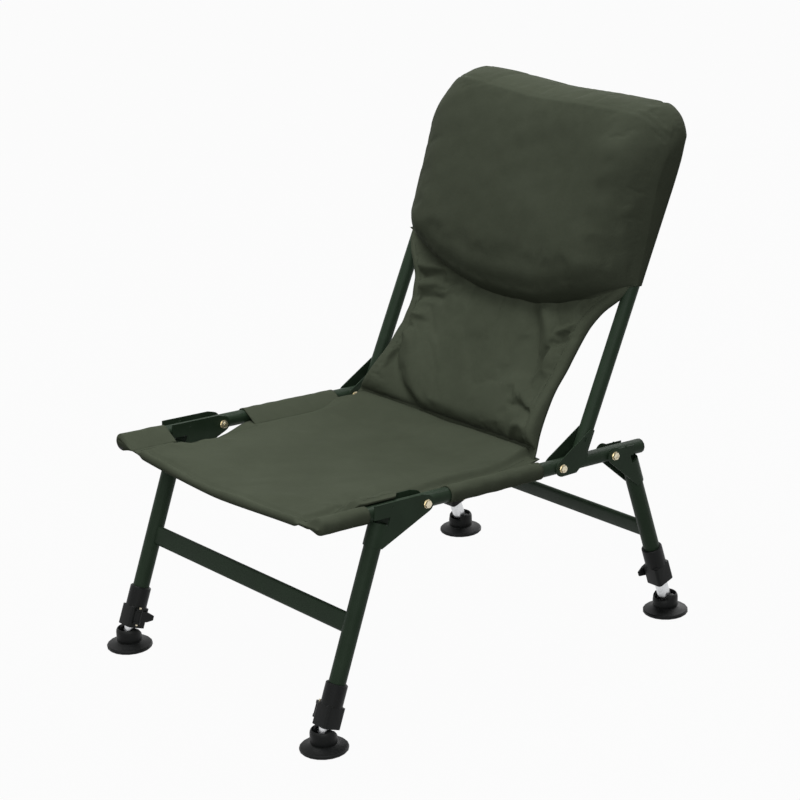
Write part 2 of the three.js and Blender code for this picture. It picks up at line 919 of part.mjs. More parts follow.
function backBracketGeometry() {
  const webLow = railTopside(backBracketOuter) + fitGap;
  const topX = backBracketTopReach;
  const lobe = lobePoints(backOffset, [backBracketKneeReach, 0], [topX, backBracketReach]);
  const shape = polygon([
    [-backBracketFlange, webLow],
    [0, backBracketKneeRise],
    [backBracketKneeReach, 0],
    ...lobe,
    [topX, backBracketReach],
    [0, backBracketReach],
    [0, webLow],
  ]);
  shape.holes.push(circleHole(boltHole / 2, backOffset, 0));
  const flange = crossPrism(shape, backBracketInner, backBracketOuter);
  const rivet = crossPrism(
    circle(rivetHeadRadius, backRivetReach, backRivetRise),
    backBracketOuter - fuseDepth,
    backBracketOuter + rivetHeadHeight,
    boltSides,
  );
  const side = joined(flange, rivet);
  const web = webGeometry(backBracketOuter, backBracketInner, webLow, backBracketReach);
  return mirrored(joined(web, side, mirrored(side, 0)), 1);
}

// Soft solids: a front and a back face over the same grid, closed by a rim

function softSolid(columns, rows, faceA, faceB) {
  const positions = [];
  const stride = columns + 1;
  const layer = stride * (rows + 1);
  for (const face of [faceA, faceB]) {
    for (let row = 0; row <= rows; row += 1) {
      for (let column = 0; column <= columns; column += 1) {
        positions.push(...face((2 * column) / columns - 1, row / rows));
      }
    }
  }
  const index = [];
  const at = (column, row, side) => side * layer + row * stride + column;
  for (let row = 0; row < rows; row += 1) {
    for (let column = 0; column < columns; column += 1) {
      for (const side of [0, 1]) {
        const quad = [
          at(column, row, side),
          at(column + 1, row, side),
          at(column + 1, row + 1, side),
          at(column, row + 1, side),
        ];
        if (side === 1) {
          quad.reverse();
        }
        index.push(quad[0], quad[1], quad[2], quad[0], quad[2], quad[3]);
      }
    }
  }
  const rim = [];
  for (let column = 0; column < columns; column += 1) {
    rim.push([at(column, 0, 0), at(column + 1, 0, 0), at(column, 0, 1), at(column + 1, 0, 1)]);
    rim.push([at(column + 1, rows, 0), at(column, rows, 0), at(column + 1, rows, 1), at(column, rows, 1)]);
  }
  for (let row = 0; row < rows; row += 1) {
    rim.push([at(0, row + 1, 0), at(0, row, 0), at(0, row + 1, 1), at(0, row, 1)]);
    rim.push([at(columns, row, 0), at(columns, row + 1, 0), at(columns, row, 1), at(columns, row + 1, 1)]);
  }
  for (const [a, b, c, d] of rim) {
    index.push(b, a, c, b, c, d);
  }
  const geometry = new THREE.BufferGeometry();
  geometry.setAttribute('position', new THREE.BufferAttribute(new Float32Array(positions), 3));
  geometry.setIndex(index);
  return solidOf(geometry).volume() > 0 ? geometry : flipped(geometry);
}

function flipped(geometry) {
  const copy = geometry.clone();
  const index = copy.index.array;
  for (let corner = 0; corner < index.length; corner += 3) {
    [index[corner], index[corner + 1]] = [index[corner + 1], index[corner]];
  }
  return copy;
}

function smooth(value) {
  const clamped = Math.min(Math.max(value, 0), 1);
  return clamped * clamped * (3 - 2 * clamped);
}

// A smooth line through pairs of a place and a value
function through(pairs, place) {
  let from = 0;
  while (from < pairs.length - 2 && place > pairs[from + 1][0]) {
    from += 1;
  }
  const [start, low] = pairs[from];
  const [end, high] = pairs[from + 1];
  return low + (high - low) * Math.min(Math.max((place - start) / (end - start), 0), 1);
}

// Seat: slung between the rails, thin bands at its sides and a lip that turns up behind

const sleeveBore = railRadius + fitGap;
const sleeveRadius = sleeveBore + sleeveWall;
const seatHalfWidth = railX - railRadius;

const seatRowShares = [0, 0.012, 0.09, 0.2, 0.32, 0.44, 0.56, 0.68, 0.8, 0.885, 0.93, 0.955, 0.972, 1];

function seatProfile(row) {
  const last = seatRowShares.length - 1;
  const share = seatRowShares[Math.round(row * last)];
  const flat = sleeveStart + seatRearReach;
  const travel = share * (flat + lipHeight);
  const bend = smooth((travel - flat + lipHeight) / (2 * lipHeight));
  const y = -sleeveStart + Math.min(travel, flat);
  const rise = Math.max(travel - flat, 0) + lipHeight * lipEaseShare * bend;
  return { y, rise, lean: bend * (halfTurn / 2), lip: smooth((travel - flat + 2 * lipHeight) / (2 * lipHeight)) };
}

function seatFace(hand) {
  return (across, row) => {
    const { y, rise, lean, lip } = seatProfile(row);
    const half = seatHalfWidth + (lipHalfWidth - seatHalfWidth) * lip;
    const out = Math.abs(across);
    const seam = 1 - seatSeamIn / seatHalfWidth;
    const boxed = smooth((seam + (1 - seam) / 2 - out) / ((1 - seam) / 2));
    const drawn = 1 - seatHemThinShare * (1 - smooth(row / seatHemShare));
    const thick = (seatBandThickness + (seatBoxThickness - seatBandThickness) * boxed) * drawn;
    const middle = -seatEdgeDrop - (seatSag - seatEdgeDrop) * (1 - out ** seatBowPower);
    const shift = (hand * thick) / 2;
    return [across * half, y - shift * Math.sin(lean), middle + rise + shift * Math.cos(lean)];
  };
}

function seatGeometry() {
  const pad = softSolid(seatColumns, seatRowShares.length - 1, seatFace(1), seatFace(-1));
  const frontEnd = -sleeveStart + frontSleeveLength;
  const sleeves = [];
  const tools = [];
  for (const { sign } of sides) {
    for (const [start, end] of [
      [-sleeveStart, frontEnd],
      [-rearSleeveAhead, -sleeveEndAhead],
    ]) {
      sleeves.push(longPrism(circle(sleeveRadius), start, end).translate(sign * railX, 0, 0));
    }
    tools.push(
      longPrism(circle(sleeveBore), -sleeveStart - cutOverrun, 0).translate(sign * railX, 0, 0),
      notchTool(sign, frontEnd),
    );
  }
  return cut(joined(pad, ...sleeves), ...tools);
}

// The opening in the seat's side that lets a front bracket through
function notchTool(sign, frontEnd) {
  const outside = railX + sleeveRadius + cutOverrun;
  const inside = railX - notchDepth;
  const shape = polygon([
    [sign * outside, frontEnd],
    [sign * (inside + notchTaper), frontEnd],
    [sign * inside, frontEnd + notchTaper],
    [sign * inside, frontEnd + notchDepth],
    [sign * (railX - notchMouth), -rearSleeveAhead],
    [sign * outside, -rearSleeveAhead],
  ]);
  return prism(shape, -seatSag - seatBoxThickness - cutOverrun, sleeveRadius + cutOverrun);
}

// Back panel: waisted, and dished backwards towards the seat

const panelTopRise = pillowRearHemRise - panelTopGap;
const panelSpreadShares = [
  [0, 0],
  [0.45, 0.125],
  [0.62, 0.33],
  [0.86, 1],
  [1, 1],
];
const panelForwardShares = [
  [0, 1],
  [0.42, 0.27],
  [1, 0],
];

function panelHalfWidth(rise) {
  const top = railX - backBracketInner - clothGap;
  if (rise < panelWaistRise) {
    const climb = (rise - panelBottomRise) / (panelWaistRise - panelBottomRise);
    return panelBottomHalfWidth + (panelWaist - panelBottomHalfWidth) * climb;
  }
  const climb = (rise - panelWaistRise) / (panelTopRise - panelWaistRise);
  return panelWaist + (top - panelWaist) * through(panelSpreadShares, climb);
}

function panelEdgeForward(rise) {
  if (rise < panelWaistRise) {
    const climb = (rise - panelBottomRise) / (panelWaistRise - panelBottomRise);
    return panelBottomForward + (panelWaistForward - panelBottomForward) * climb;
  }
  const climb = (rise - panelWaistRise) / (panelTopRise - panelWaistRise);
  return panelTopForward + (panelWaistForward - panelTopForward) * through(panelForwardShares, climb);
}

function panelFace(hand) {
  return (across, row) => {
    const rise = panelBottomRise + row * (panelTopRise - panelBottomRise);
    const low = smooth((panelWaistRise - rise) / (panelWaistRise - panelBottomRise));
    const half = panelHalfWidth(rise);
    const forward = panelEdgeForward(rise) - panelDish * low * (1 - across * across);
    const boxed = smooth(((1 - Math.abs(across)) * half) / panelHemWidth);
    const thick = panelHemThickness + (panelThickness - panelHemThickness) * boxed;
    return [across * half, -forward - (hand * thick) / 2, rise];
  };
}

function panelGeometry() {
  return softSolid(panelColumns, panelRows, panelFace(1), panelFace(-1));
}

// Head pillow: a sock over the top of the back tube, deep at the top, wrapped round the tube
// at its edges and with a hem that sweeps down in front

const pillowColumnShares = [0, 0.25, 0.5, 0.75, 0.9, 0.955, 0.975, 0.995, 1];
const pillowRowShares = [0, 0.025, 0.07, 0.15, 0.3, 0.45, 0.6, 0.72, 0.82, 0.9, 0.95, 0.985, 1];
const pillowNarrowShares = [
  [0, 0],
  [0.65, 0.04],
  [0.77, 0.14],
  [0.85, 0.45],
  [1, 1],
];
const pillowSideShares = [
  [0.2, 0],
  [0.34, 0.18],
  [0.58, 0.59],
  [0.77, 0.91],
  [1, 1],
];
const pillowCrownShares = [
  [0, 0],
  [0.11, 0.42],
  [0.34, 0.75],
  [0.58, 1],
  [0.77, 1.08],
  [1, 0.92],
];
const pillowHemShares = [
  [-1, 1],
  [-0.85, 0.865],
  [-0.7, 0.66],
  [-0.35, 0.2],
  [0, 0],
  [0.35, 0.03],
  [0.7, 0.405],
  [0.85, 0.676],
  [1, 1],
];
const pillowCrestShares = [
  [-1, 1],
  [-0.6, 0.92],
  [-0.3, 0.33],
  [0.08, -0.33],
  [0.5, 0],
  [1, 0],
];
const pillowCornerLeastShare = 0.6;
const pillowEdgeShare = 0.02;

function quarterRound(share) {
  return Math.sqrt(1 - (1 - Math.min(Math.max(share, 0), 1)) ** 2);
}

function pillowPlace(column, row) {
  const last = pillowColumnShares.length - 1;
  const out = pillowColumnShares[Math.round(Math.abs(column) * last)];
  const across = Math.sign(column) * out;
  const share = pillowRowShares[Math.round(row * (pillowRowShares.length - 1))];
  const cornerShare = pillowCorner / pillowHalfWidth;
  const crest = pillowCrest * through(pillowCrestShares, across);
  const top = pillowTopRise + crest - pillowCorner * (1 - quarterRound((1 - out) / cornerShare));
  const sweep = pillowSideHemRise - pillowHemRise;
  const hem = pillowHemRise + sweep * through(pillowHemShares, across);
  const rise = hem + share * (top - hem);
  const climb = (rise - pillowHemRise) / (pillowTopRise - pillowHemRise);
  const narrowing = (pillowHalfWidth - pillowTopHalfWidth) * through(pillowNarrowShares, climb);
  const half = pillowHalfWidth - narrowing;
  const height = pillowTopRise - pillowHemRise;
  return { x: across * half, rise, climb, top, fromSide: (1 - out) * half, share, height };
}

function pillowFront(column, row) {
  const { x, rise, climb, fromSide, share, height } = pillowPlace(column, row);
  const fromTop = (1 - share) * height;
  const sideRange = pillowSideTopForward - pillowSideForward;
  const edge = pillowSideForward + sideRange * through(pillowSideShares, climb);
  const crownRange = pillowTopForward - pillowHemForward;
  const crown = pillowHemForward + crownRange * through(pillowCrownShares, climb);
  const swell = 1 - (1 - Math.min(fromSide / pillowSwell, 1)) ** pillowSwellPower;
  const ease = smooth(Math.hypot(fromSide, fromTop) / pillowCornerEase);
  const full = (edge + (crown - edge) * swell) * (pillowCornerLeastShare + (1 - pillowCornerLeastShare) * ease);
  const over = pillowEdgeShare + (1 - pillowEdgeShare) * quarterRound(fromTop / pillowTopRound);
  const tuck = pillowHemTuck * swell * (1 - quarterRound((share * height) / pillowHemRound));
  return [x, tuck - full * over, rise];
}

function pillowRear(column, row) {
  const { x, rise, top, fromSide } = pillowPlace(column, row);
  const round = Math.min(quarterRound(fromSide / pillowWrap), quarterRound((top - rise) / pillowWrap));
  return [x, pillowWrap * round + clothGap, rise];
}

function pillowGeometry() {
  const columns = 2 * (pillowColumnShares.length - 1);
  const body = softSolid(columns, pillowRowShares.length - 1, pillowFront, pillowRear);
  const underside = crossPrism(
    polygon([
      [-pillowFlapBack, 0],
      [pillowWrap + cutOverrun, 0],
      [pillowWrap + cutOverrun, pillowRearHemRise],
      [-pillowFlapBack, pillowRearHemRise],
    ]),
    -railSpacing,
    railSpacing,
  );
  const tunnel = alongPath(circle(backTubeRadius + clothGap), backTubePath(0));
  return cut(body, underside, tunnel);
}

// Assembly

function placedLeg(leg) {
  const group = new THREE.Group();
  group.position.set(0, leg.origin.y, leg.origin.z);
  group.rotation.x = leg.turn;
  return group;
}

// A moulding drawn for the left front leg, turned over for the side and the leg it is on
function forLeg(geometry, sign, leg) {
  const sided = sign > 0 ? geometry : mirrored(geometry, 0);
  return leg.inward > 0 ? sided : mirrored(sided, 1);
}

// A clamp stands clear of the foot's cheeks, however the foot is tipped
function legAssembly(prefix, leg, clampClearance, crossbarRise, bracket) {
  const parts = [];
  const clampRise = leg.pinRise + footCheekRadius + clampClearance;
  const frame = placedLeg(leg);
  const bracketShape = leg.inward > 0 ? bracket : mirrored(bracket, 1);
  frame.add(piece(`${prefix}_crossbar`, crossbarGeometry(leg, crossbarRise), finishes.frame));
  for (const { label, sign } of sides) {
    const place = (name, geometry, look, rise = 0) => {
      const mesh = piece(`${prefix}_${name}_${label}`, geometry, look);
      mesh.position.set(sign * railX, 0, rise);
      frame.add(mesh);
    };
    const clampBase = clampRise - leg.length;
    place('leg', legTubeGeometry(leg, clampRise), finishes.frame);
    place('bracket', bracketShape, finishes.frame);
    place('inner_tube', innerTubeGeometry(leg), finishes.silver);
    place('clamp', forLeg(clampBodyGeometry(), sign, leg), finishes.plastic, clampBase);
    place('clamp_pin', forLeg(clampPinGeometry(), sign, leg), finishes.zinc, clampBase);
    place('clamp_lever', forLeg(clampLeverGeometry(), sign, leg), finishes.plastic, clampBase);
    const foot = piece(`${prefix}_foot_${label}`, footGeometry(), finishes.plastic);
    foot.position.set(sign * railX, leg.footY, 0);
    const pin = piece(`${prefix}_foot_pin_${label}`, footPinGeometry(), finishes.zinc);
    pin.position.set(sign * railX, leg.footY, footPinHeight);
    parts.push(foot, pin);
  }
  parts.push(frame);
  return parts;
}

function railAssembly() {
  const group = new THREE.Group();
  group.position.z = railPivotHeight;
  group.rotation.x = -railSlope;
  for (const { label, sign } of sides) {
    const rail = piece(`rail_${label}`, railGeometry(), finishes.frame);
    rail.position.x = sign * railX;
    const frontCap = piece(`rail_cap_front_${label}`, capGeometry().rotateX(halfTurn), finishes.plastic);
    frontCap.position.set(sign * railX, -railAhead, 0);
    const rearCap = piece(`rail_cap_rear_${label}`, capGeometry(), finishes.plastic);
    rearCap.position.set(sign * railX, railBehind, 0);
    group.add(rail, frontCap, rearCap);
    const pivots = [
      ['front', -frontPivotAhead, legBracketOuter],
      ['rear', rearPivotBehind, legBracketOuter],
      ['back', 0, backBracketOuter],
    ];
    for (const [name, along, outer] of pivots) {
      const bolt = sign > 0 ? boltGeometry(outer) : mirrored(boltGeometry(outer), 0);
      const nut = sign > 0 ? nutGeometry(outer) : mirrored(nutGeometry(outer), 0);
      const boltMesh = piece(`${name}_pivot_bolt_${label}`, bolt, finishes.zinc);
      const nutMesh = piece(`${name}_pivot_nut_${label}`, nut, finishes.zinc);
      boltMesh.position.set(sign * railX, along, 0);
      nutMesh.position.set(sign * railX, along, 0);
      group.add(boltMesh, nutMesh);
    }
  }
  group.add(piece('seat_pad', seatGeometry(), finishes.cloth));
  return group;
}

function backAssembly() {
  const group = new THREE.Group();
  group.position.set(0, backOrigin.y, backOrigin.z);
  group.rotation.x = -backTilt;
  group.add(piece('back_tube', backTubeGeometry(), finishes.frame));
  for (const { label, sign } of sides) {
    const bracket = piece(`back_bracket_${label}`, backBracketGeometry(), finishes.frame);
    bracket.position.x = sign * railX;
    group.add(bracket);
  }
  group.add(piece('back_panel', panelGeometry(), finishes.cloth));
  group.add(piece('head_pillow', pillowGeometry(), finishes.pillowCloth));
  return group;
}

// The chair stands on Z = 0 with the middle of its outer box over the origin
function centred(group) {
  const placed = new THREE.Group();
  group.updateMatrixWorld(true);
  const box = new THREE.Box3().setFromObject(group, true);
  const middle = box.getCenter(new THREE.Vector3());
  group.position.set(0, -middle.y, 0);
  placed.add(group);
  return placed;
}

const chair = new THREE.Group();
const frontBracket = legBracketGeometry(frontLeg, frontEarLength, frontEarRise, dimpleAlongRail);
const rearBracket = legBracketGeometry(rearLeg, rearEarLength, rearEarRise, rearDimpleAlongRail);
chair.add(
  railAssembly(),
  ...legAssembly('front', frontLeg, frontClampClearance, frontCrossbarRise, frontBracket),
  ...legAssembly('rear', rearLeg, rearClampClearance, rearCrossbarRise, rearBracket),
  backAssembly(),
);

export default centred(chair);
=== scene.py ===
"""Folding fishing chair: finishes, sewn covers and studio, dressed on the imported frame."""

import json
import logging
import math
from dataclasses import dataclass
from enum import Enum
from typing import Callable, Sequence

import bmesh
import bpy
import numpy as np
from mathutils import Matrix, Vector

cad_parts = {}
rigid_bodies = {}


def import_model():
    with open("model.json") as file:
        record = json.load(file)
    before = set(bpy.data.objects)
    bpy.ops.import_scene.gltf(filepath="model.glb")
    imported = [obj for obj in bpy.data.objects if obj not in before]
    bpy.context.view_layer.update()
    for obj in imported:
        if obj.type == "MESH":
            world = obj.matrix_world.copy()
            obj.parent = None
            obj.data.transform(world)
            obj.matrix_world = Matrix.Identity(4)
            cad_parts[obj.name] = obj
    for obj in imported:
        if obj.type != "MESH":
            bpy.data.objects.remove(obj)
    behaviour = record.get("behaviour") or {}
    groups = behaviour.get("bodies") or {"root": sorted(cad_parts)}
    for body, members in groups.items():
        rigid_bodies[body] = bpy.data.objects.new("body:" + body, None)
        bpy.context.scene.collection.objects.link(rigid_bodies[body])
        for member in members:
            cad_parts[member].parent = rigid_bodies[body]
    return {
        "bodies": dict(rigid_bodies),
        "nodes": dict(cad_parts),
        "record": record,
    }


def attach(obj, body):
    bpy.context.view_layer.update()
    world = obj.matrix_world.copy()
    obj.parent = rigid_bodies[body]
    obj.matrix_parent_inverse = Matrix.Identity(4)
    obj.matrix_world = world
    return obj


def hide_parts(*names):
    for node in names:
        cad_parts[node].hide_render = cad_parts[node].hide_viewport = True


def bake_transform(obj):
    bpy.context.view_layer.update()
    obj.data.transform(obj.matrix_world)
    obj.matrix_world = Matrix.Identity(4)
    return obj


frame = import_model()

log = logging.getLogger("fishing_chair")
MM = 0.001
WELD = 1e-6
WHITE = (1.0, 1.0, 1.0)

Array = np.ndarray
Piece = bpy.types.Object
Colour = tuple[float, float, float]
Pairs = tuple[tuple[float, float], ...]


class Body(str, Enum):
    """The moving bodies that dressed pieces ride on."""

    FRAME = "chair_frame"
    BACKREST = "backrest"


class Slot(str, Enum):
    """The record's material slots."""

    PAINT = "frame_paint"
    CLOTH = "cloth"
    PILLOW = "pillow_cloth"
    PLASTIC = "plastic"
    ZINC = "zinc"
    SILVER = "silver"


class Sock:
    """A node socket that takes part in arithmetic."""

    def __init__(self, graph: "Graph", socket: bpy.types.NodeSocket | None) -> None:
        """Wraps one output socket."""
        self.graph = graph
        self.socket = socket

    def output(self, key: str | int) -> "Sock":
        """Another output of the same node."""
        return Sock(self.graph, self.socket.node.outputs[key])

    def _math(self, operation: str, *values: "Sock | float") -> "Sock":
        """Adds a Math node with the values as its inputs, in order."""
        return self.graph.node("ShaderNodeMath", dict(enumerate(values)), operation=operation)

    def __add__(self, other: "Sock | float") -> "Sock":
        """Sum."""
        return self._math("ADD", self, other)

    def __radd__(self, other: float) -> "Sock":
        """Sum with a number on the left."""
        return self._math("ADD", other, self)

    def __mul__(self, other: "Sock | float") -> "Sock":
        """Product."""
        return self._math("MULTIPLY", self, other)

    def __rmul__(self, other: float) -> "Sock":
        """Product with a number on the left."""
        return self._math("MULTIPLY", other, self)

    def sine(self) -> "Sock":
        """Sine of the value, in radians."""
        return self._math("SINE", self)

    def absolute(self) -> "Sock":
        """Value without its sign."""
        return self._math("ABSOLUTE", self)

    def highest(self, other: "Sock | float") -> "Sock":
        """The larger of two values."""
        return self._math("MAXIMUM", self, other)

    def band(self, low: float, high: float) -> "Sock":
        """Smooth step of the value: 0 at low, 1 at high."""
        inputs = {"Value": self, "From Min": low, "From Max": high}
        return self.graph.node("ShaderNodeMapRange", inputs, interpolation_type="SMOOTHSTEP")


class Graph:
    """Builds the node tree of a material, of the world or of a Geometry Nodes group."""

    def __init__(self, owner: bpy.types.ID) -> None:
        """Starts an empty tree.

        Args:
            owner: the material, world or node group that holds it.
        """
        self.owner = owner
        self.tree = owner
        if not isinstance(owner, bpy.types.NodeTree):
            owner.use_nodes = True
            self.tree = owner.node_tree
        self.tree.nodes.clear()

    def node(
        self,
        kind: str,
        inputs: dict[str | int, object] | None = None,
        output: str | int | None = 0,
        **settings: object,
    ) -> Sock:
        """Adds a node.

        Args:
            kind: the node's type name.
            inputs: values or links of its sockets, by name or place.
            output: the socket that is returned, or None for a node that ends the tree.
            settings: the node's own settings, which are set first.

        Returns:
            The chosen output.
        """
        made = self.tree.nodes.new(kind)
        for key, value in settings.items():
            setattr(made, key, value)
        for key, value in (inputs or {}).items():
            self._feed(made.inputs[key], value)
        return Sock(self, made.outputs[output] if output is not None else None)

    def _feed(self, socket: bpy.types.NodeSocket, value: object) -> None:
        """Links or sets one input socket.

        Args:
            socket: the input.
            value: a socket, or the value that it holds.
        """
        if isinstance(value, Sock):
            self.tree.links.new(value.socket, socket)
        elif isinstance(value, tuple) and len(value) == 3 and socket.type == "RGBA":
            socket.default_value = (*value, 1.0)
        else:
            socket.default_value = value

    def mix(self, share: Sock | float, first: object, second: object) -> Sock:
        """Mixes two colours; the share is how much of the second one shows."""
        inputs = {0: share, 6: first, 7: second}
        return self.node("ShaderNodeMix", inputs, output=2, data_type="RGBA")

    def noise(self, place: Sock, scale: float, detail: float = 2.0, rough: float = 0.5) -> Sock:
        """A noise value from 0 to 1, with its scale per metre and its octaves."""
        inputs = {"Vector": place, "Scale": scale, "Detail": detail, "Roughness": rough}
        return self.node("ShaderNodeTexNoise", inputs, normalize=True)

    def object_place(self) -> Sock:
        """Object coordinates."""
        return self.node("ShaderNodeTexCoord", output="Object")

    def bump(self, height: Sock, depth: float, share: float, normal: Sock | None = None) -> Sock:
        """A bumped normal.

        Args:
            height: the height from 0 to 1.
            depth: the height of 1, in metres.
            share: the share of the effect.
            normal: a normal that it builds on.

        Returns:
            The new normal.
        """
        inputs = {"Height": height, "Distance": depth, "Strength": share}
        if normal is not None:
            inputs["Normal"] = normal
        return self.node("ShaderNodeBump", inputs)

    def surface(self, **inputs: object) -> bpy.types.Material:
        """Ends the tree in a Principled surface.

        Args:
            inputs: socket values, with underscores for spaces.

        Returns:
            The finished material.
        """
        named = {key.replace("_", " "): value for key, value in inputs.items()}
        self.finish(self.node("ShaderNodeBsdfPrincipled", named))
        return self.owner

    def finish(self, shader: Sock) -> None:
        """Links a shader to the tree's output."""
        kind = "World" if isinstance(self.owner, bpy.types.World) else "Material"
        self.node(f"ShaderNodeOutput{kind}", {"Surface": shader}, output=None)


@dataclass(frozen=True)
class PaintFinish:
    """Satin powder coat on steel tube."""

    name: str = "green_powder_coat"
    colour: Colour = (0.0169, 0.0304, 0.0169)
    faded: Colour = (0.0223, 0.0378, 0.0223)
    roughness: float = 0.44
    gloss: float = 0.1
    grain: float = 2600.0

    def material(self) -> bpy.types.Material:
        """Builds the material, which fades in clouds and is rubbed in spots.

        Returns:
            The finished material.
        """
        g = Graph(bpy.data.materials.new(self.name))
        place = g.object_place()
        cloud = g.noise(place, scale=28.0, detail=3.0).band(low=0.35, high=0.7)
        peel = g.noise(place, scale=self.grain)
        rub = g.noise(place, scale=120.0, detail=4.0, rough=0.65).band(low=0.62, high=0.74)
        return g.surface(
            Base_Color=g.mix(cloud, self.colour, self.faded),
            Roughness=self.roughness + 0.08 * cloud + 0.1 * rub,
            Normal=g.bump(peel, depth=0.00006, share=0.6),
            Specular_IOR_Level=self.gloss,
        )


@dataclass(frozen=True)
class ClothFinish:
    """Tightly woven, coated polyester."""

    name: str
    colour: Colour
    worn: Colour
    roughness: float = 0.7
    gloss: float = 0.02
    thread: float = 0.0011
    thread_depth: float = 0.12
    crease: float = 0.00242

    def material(self) -> bpy.types.Material:
        """Builds the material on the piece's own lay attribute, in metres.

        Returns:
            The finished material.
        """
        g = Graph(bpy.data.materials.new(self.name))
        lay = g.node("ShaderNodeAttribute", output="Vector", attribute_name="lay")
        x = g.node("ShaderNodeSeparateXYZ", {0: lay})
        y, z = x.output(1), x.output(2)
        turns = 2 * math.pi / self.thread
        weft, warp = ((way * turns).sine() for way in (x + z, y + z))
        weave = 0.5 + 0.25 * (weft * warp) + 0.12 * weft.absolute() + 0.12 * warp.absolute()
        cloud = g.noise(lay, scale=9.0, detail=3.0, rough=0.55).band(low=0.3, high=0.72)
        mottle = g.noise(lay, scale=55.0, detail=4.0, rough=0.6).band(low=0.35, high=0.7)
        rumple = g.noise(lay, scale=34.0, detail=4.0, rough=0.55)
        creased = g.bump(rumple, depth=self.crease, share=0.45)
        tone = g.mix(cloud * 0.55 + mottle * 0.3, self.colour, self.worn)
        return g.surface(
            Base_Color=g.mix(weave.band(low=0.35, high=0.95) * 0.35, tone, self.worn),
            Roughness=self.roughness + 0.1 * mottle,
            Normal=g.bump(weave, self.thread * self.thread_depth, 0.5, creased),
            Specular_IOR_Level=self.gloss,
        )


@dataclass(frozen=True)
class PlasticFinish:
    """Moulded black plastic with a fine spark grain."""

    name: str = "black_moulding"
    colour: Colour = (0.0054, 0.0062, 0.0059)
    scuffed: Colour = (0.0115, 0.0124, 0.0119)
    roughness: float = 0.46
    gloss: float = 0.14

    def material(self) -> bpy.types.Material:
        """Builds the material, scuffed in spots.

        Returns:
            The finished material.
        """
        g = Graph(bpy.data.materials.new(self.name))
        place = g.object_place()
        spark = g.noise(place, scale=3400.0)
        scuff = g.noise(place, scale=190.0, detail=4.0, rough=0.6).band(low=0.55, high=0.78)
        return g.surface(
            Base_Color=g.mix(scuff, self.colour, self.scuffed),
            Roughness=self.roughness + 0.16 * scuff,
            Normal=g.bump(spark, depth=0.00005, share=0.5),
            Specular_IOR_Level=self.gloss,
        )


@dataclass(frozen=True)
class MetalFinish:
    """Bare or plated metal, with a grain that may be stretched along the piece."""

    name: str
    colour: Colour
    dulled: Colour
    roughness: float
    grain: Colour = (300.0, 300.0, 300.0)

    def material(self) -> bpy.types.Material:
        """Builds the material, stained in spots.

        Returns:
            The finished material.
        """
        g = Graph(bpy.data.materials.new(self.name))
        place = g.object_place()
        stretched = g.node("ShaderNodeMapping", {"Vector": place, "Scale": self.grain})
        streak = g.noise(stretched, scale=1.0, detail=3.0, rough=0.6)
        stain = g.noise(place, scale=240.0, detail=3.0, rough=0.6).band(low=0.45, high=0.75)
        return g.surface(
            Base_Color=g.mix(stain, self.colour, self.dulled),
            Metallic=1.0,
            Roughness=self.roughness + 0.1 * streak + 0.1 * stain,
            Normal=g.bump(streak, depth=0.00001, share=0.3),
        )


class Finishes:
    """Every finish of the chair, made once."""

    def __init__(self) -> None:
        """Builds the finish of each record slot, and of the feet's pins and the thread."""
        olive = ClothFinish("olive_weave", (0.0562, 0.0656, 0.0443), (0.0740, 0.0859, 0.0594))
        # The pillow's cloth is the seat's olive weave darkened by about a fifth: painted shade
        # over the whole pillow.
        dark = ClothFinish("olive_weave_painted_shade", (0.0451, 0.0524, 0.0356), (0.0586, 0.0675, 0.0470))
        thread = ClothFinish("sewing_thread", (0.0270, 0.0338, 0.0230), (0.0405, 0.0486, 0.0351))
        zinc = MetalFinish("yellow_zinc", (0.66, 0.60, 0.45), (0.36, 0.30, 0.20), 0.26)
        drawn = (40.0, 40.0, 200.0)
        silver = MetalFinish("silver_tube", (0.62, 0.63, 0.64), (0.54, 0.55, 0.56), 0.24, drawn)
        blacked = MetalFinish("blacked_pin", (0.030, 0.032, 0.031), (0.06, 0.06, 0.055), 0.35)
        self.by_slot = {
            Slot.PAINT: PaintFinish().material(),
            Slot.CLOTH: olive.material(),
            Slot.PILLOW: dark.material(),
            Slot.PLASTIC: PlasticFinish().material(),
            Slot.ZINC: zinc.material(),
            Slot.SILVER: silver.material(),
        }
        self.blacked = blacked.material()
        self.thread = thread.material()


def pivot(joint: str) -> Vector:
    """The place of one of the record's joints in the row frame, in metres."""
    found = next(j for j in frame["record"]["behaviour"]["joints"] if j["name"] == joint)
    return Vector(found["pos_m"])


@dataclass(frozen=True)
class Place:
    """A local frame in millimetres, tilted about the chair's cross axis."""

    origin: Vector
    tilt: float

    def matrix(self) -> Matrix:
        """From local millimetres to metres in the row frame."""
        turn = Matrix.Rotation(-self.tilt, 4, "X")
        return Matrix.Translation(self.origin) @ turn @ Matrix.Scale(MM, 4)

    def world(self, points: Array) -> Array:
        """Moves local points into the row frame."""
        m = np.array(self.matrix())
        return points @ m[:3, :3].T + m[:3, 3]

    def point(self, x: float, y: float, z: float) -> Vector:
        """Moves one local point into the row frame."""
        return self.matrix() @ Vector((x, y, z))


@dataclass(frozen=True)
class ChairSizes:
    """Sizes that the covers share, in millimetres and degrees."""

    rail_x: float = 241.0
    rail_slope: float = 3.82
    back_tilt: float = 26.1
    back_offset: float = 35.6

    def rails(self) -> Place:
        """Frame of the rails: origin between the backrest pivots, +Y rearward."""
        return Place(pivot("backrest_fold"), math.radians(self.rail_slope))

    def back(self) -> Place:
        """Frame of the back tube: origin square to the pivot, +Z up the tube, -Y forward."""
        tilt = math.radians(self.back_tilt)
        shift = Vector((0, math.cos(tilt), -math.sin(tilt))) * self.back_offset * MM
        return Place(pivot("backrest_fold") + shift, tilt)


SIZES = ChairSizes()


def smooth(value: Array | float) -> Array | float:
    """Smooth step from 0 to 1."""
    v = np.clip(value, 0.0, 1.0)
    return v * v * (3 - 2 * v)


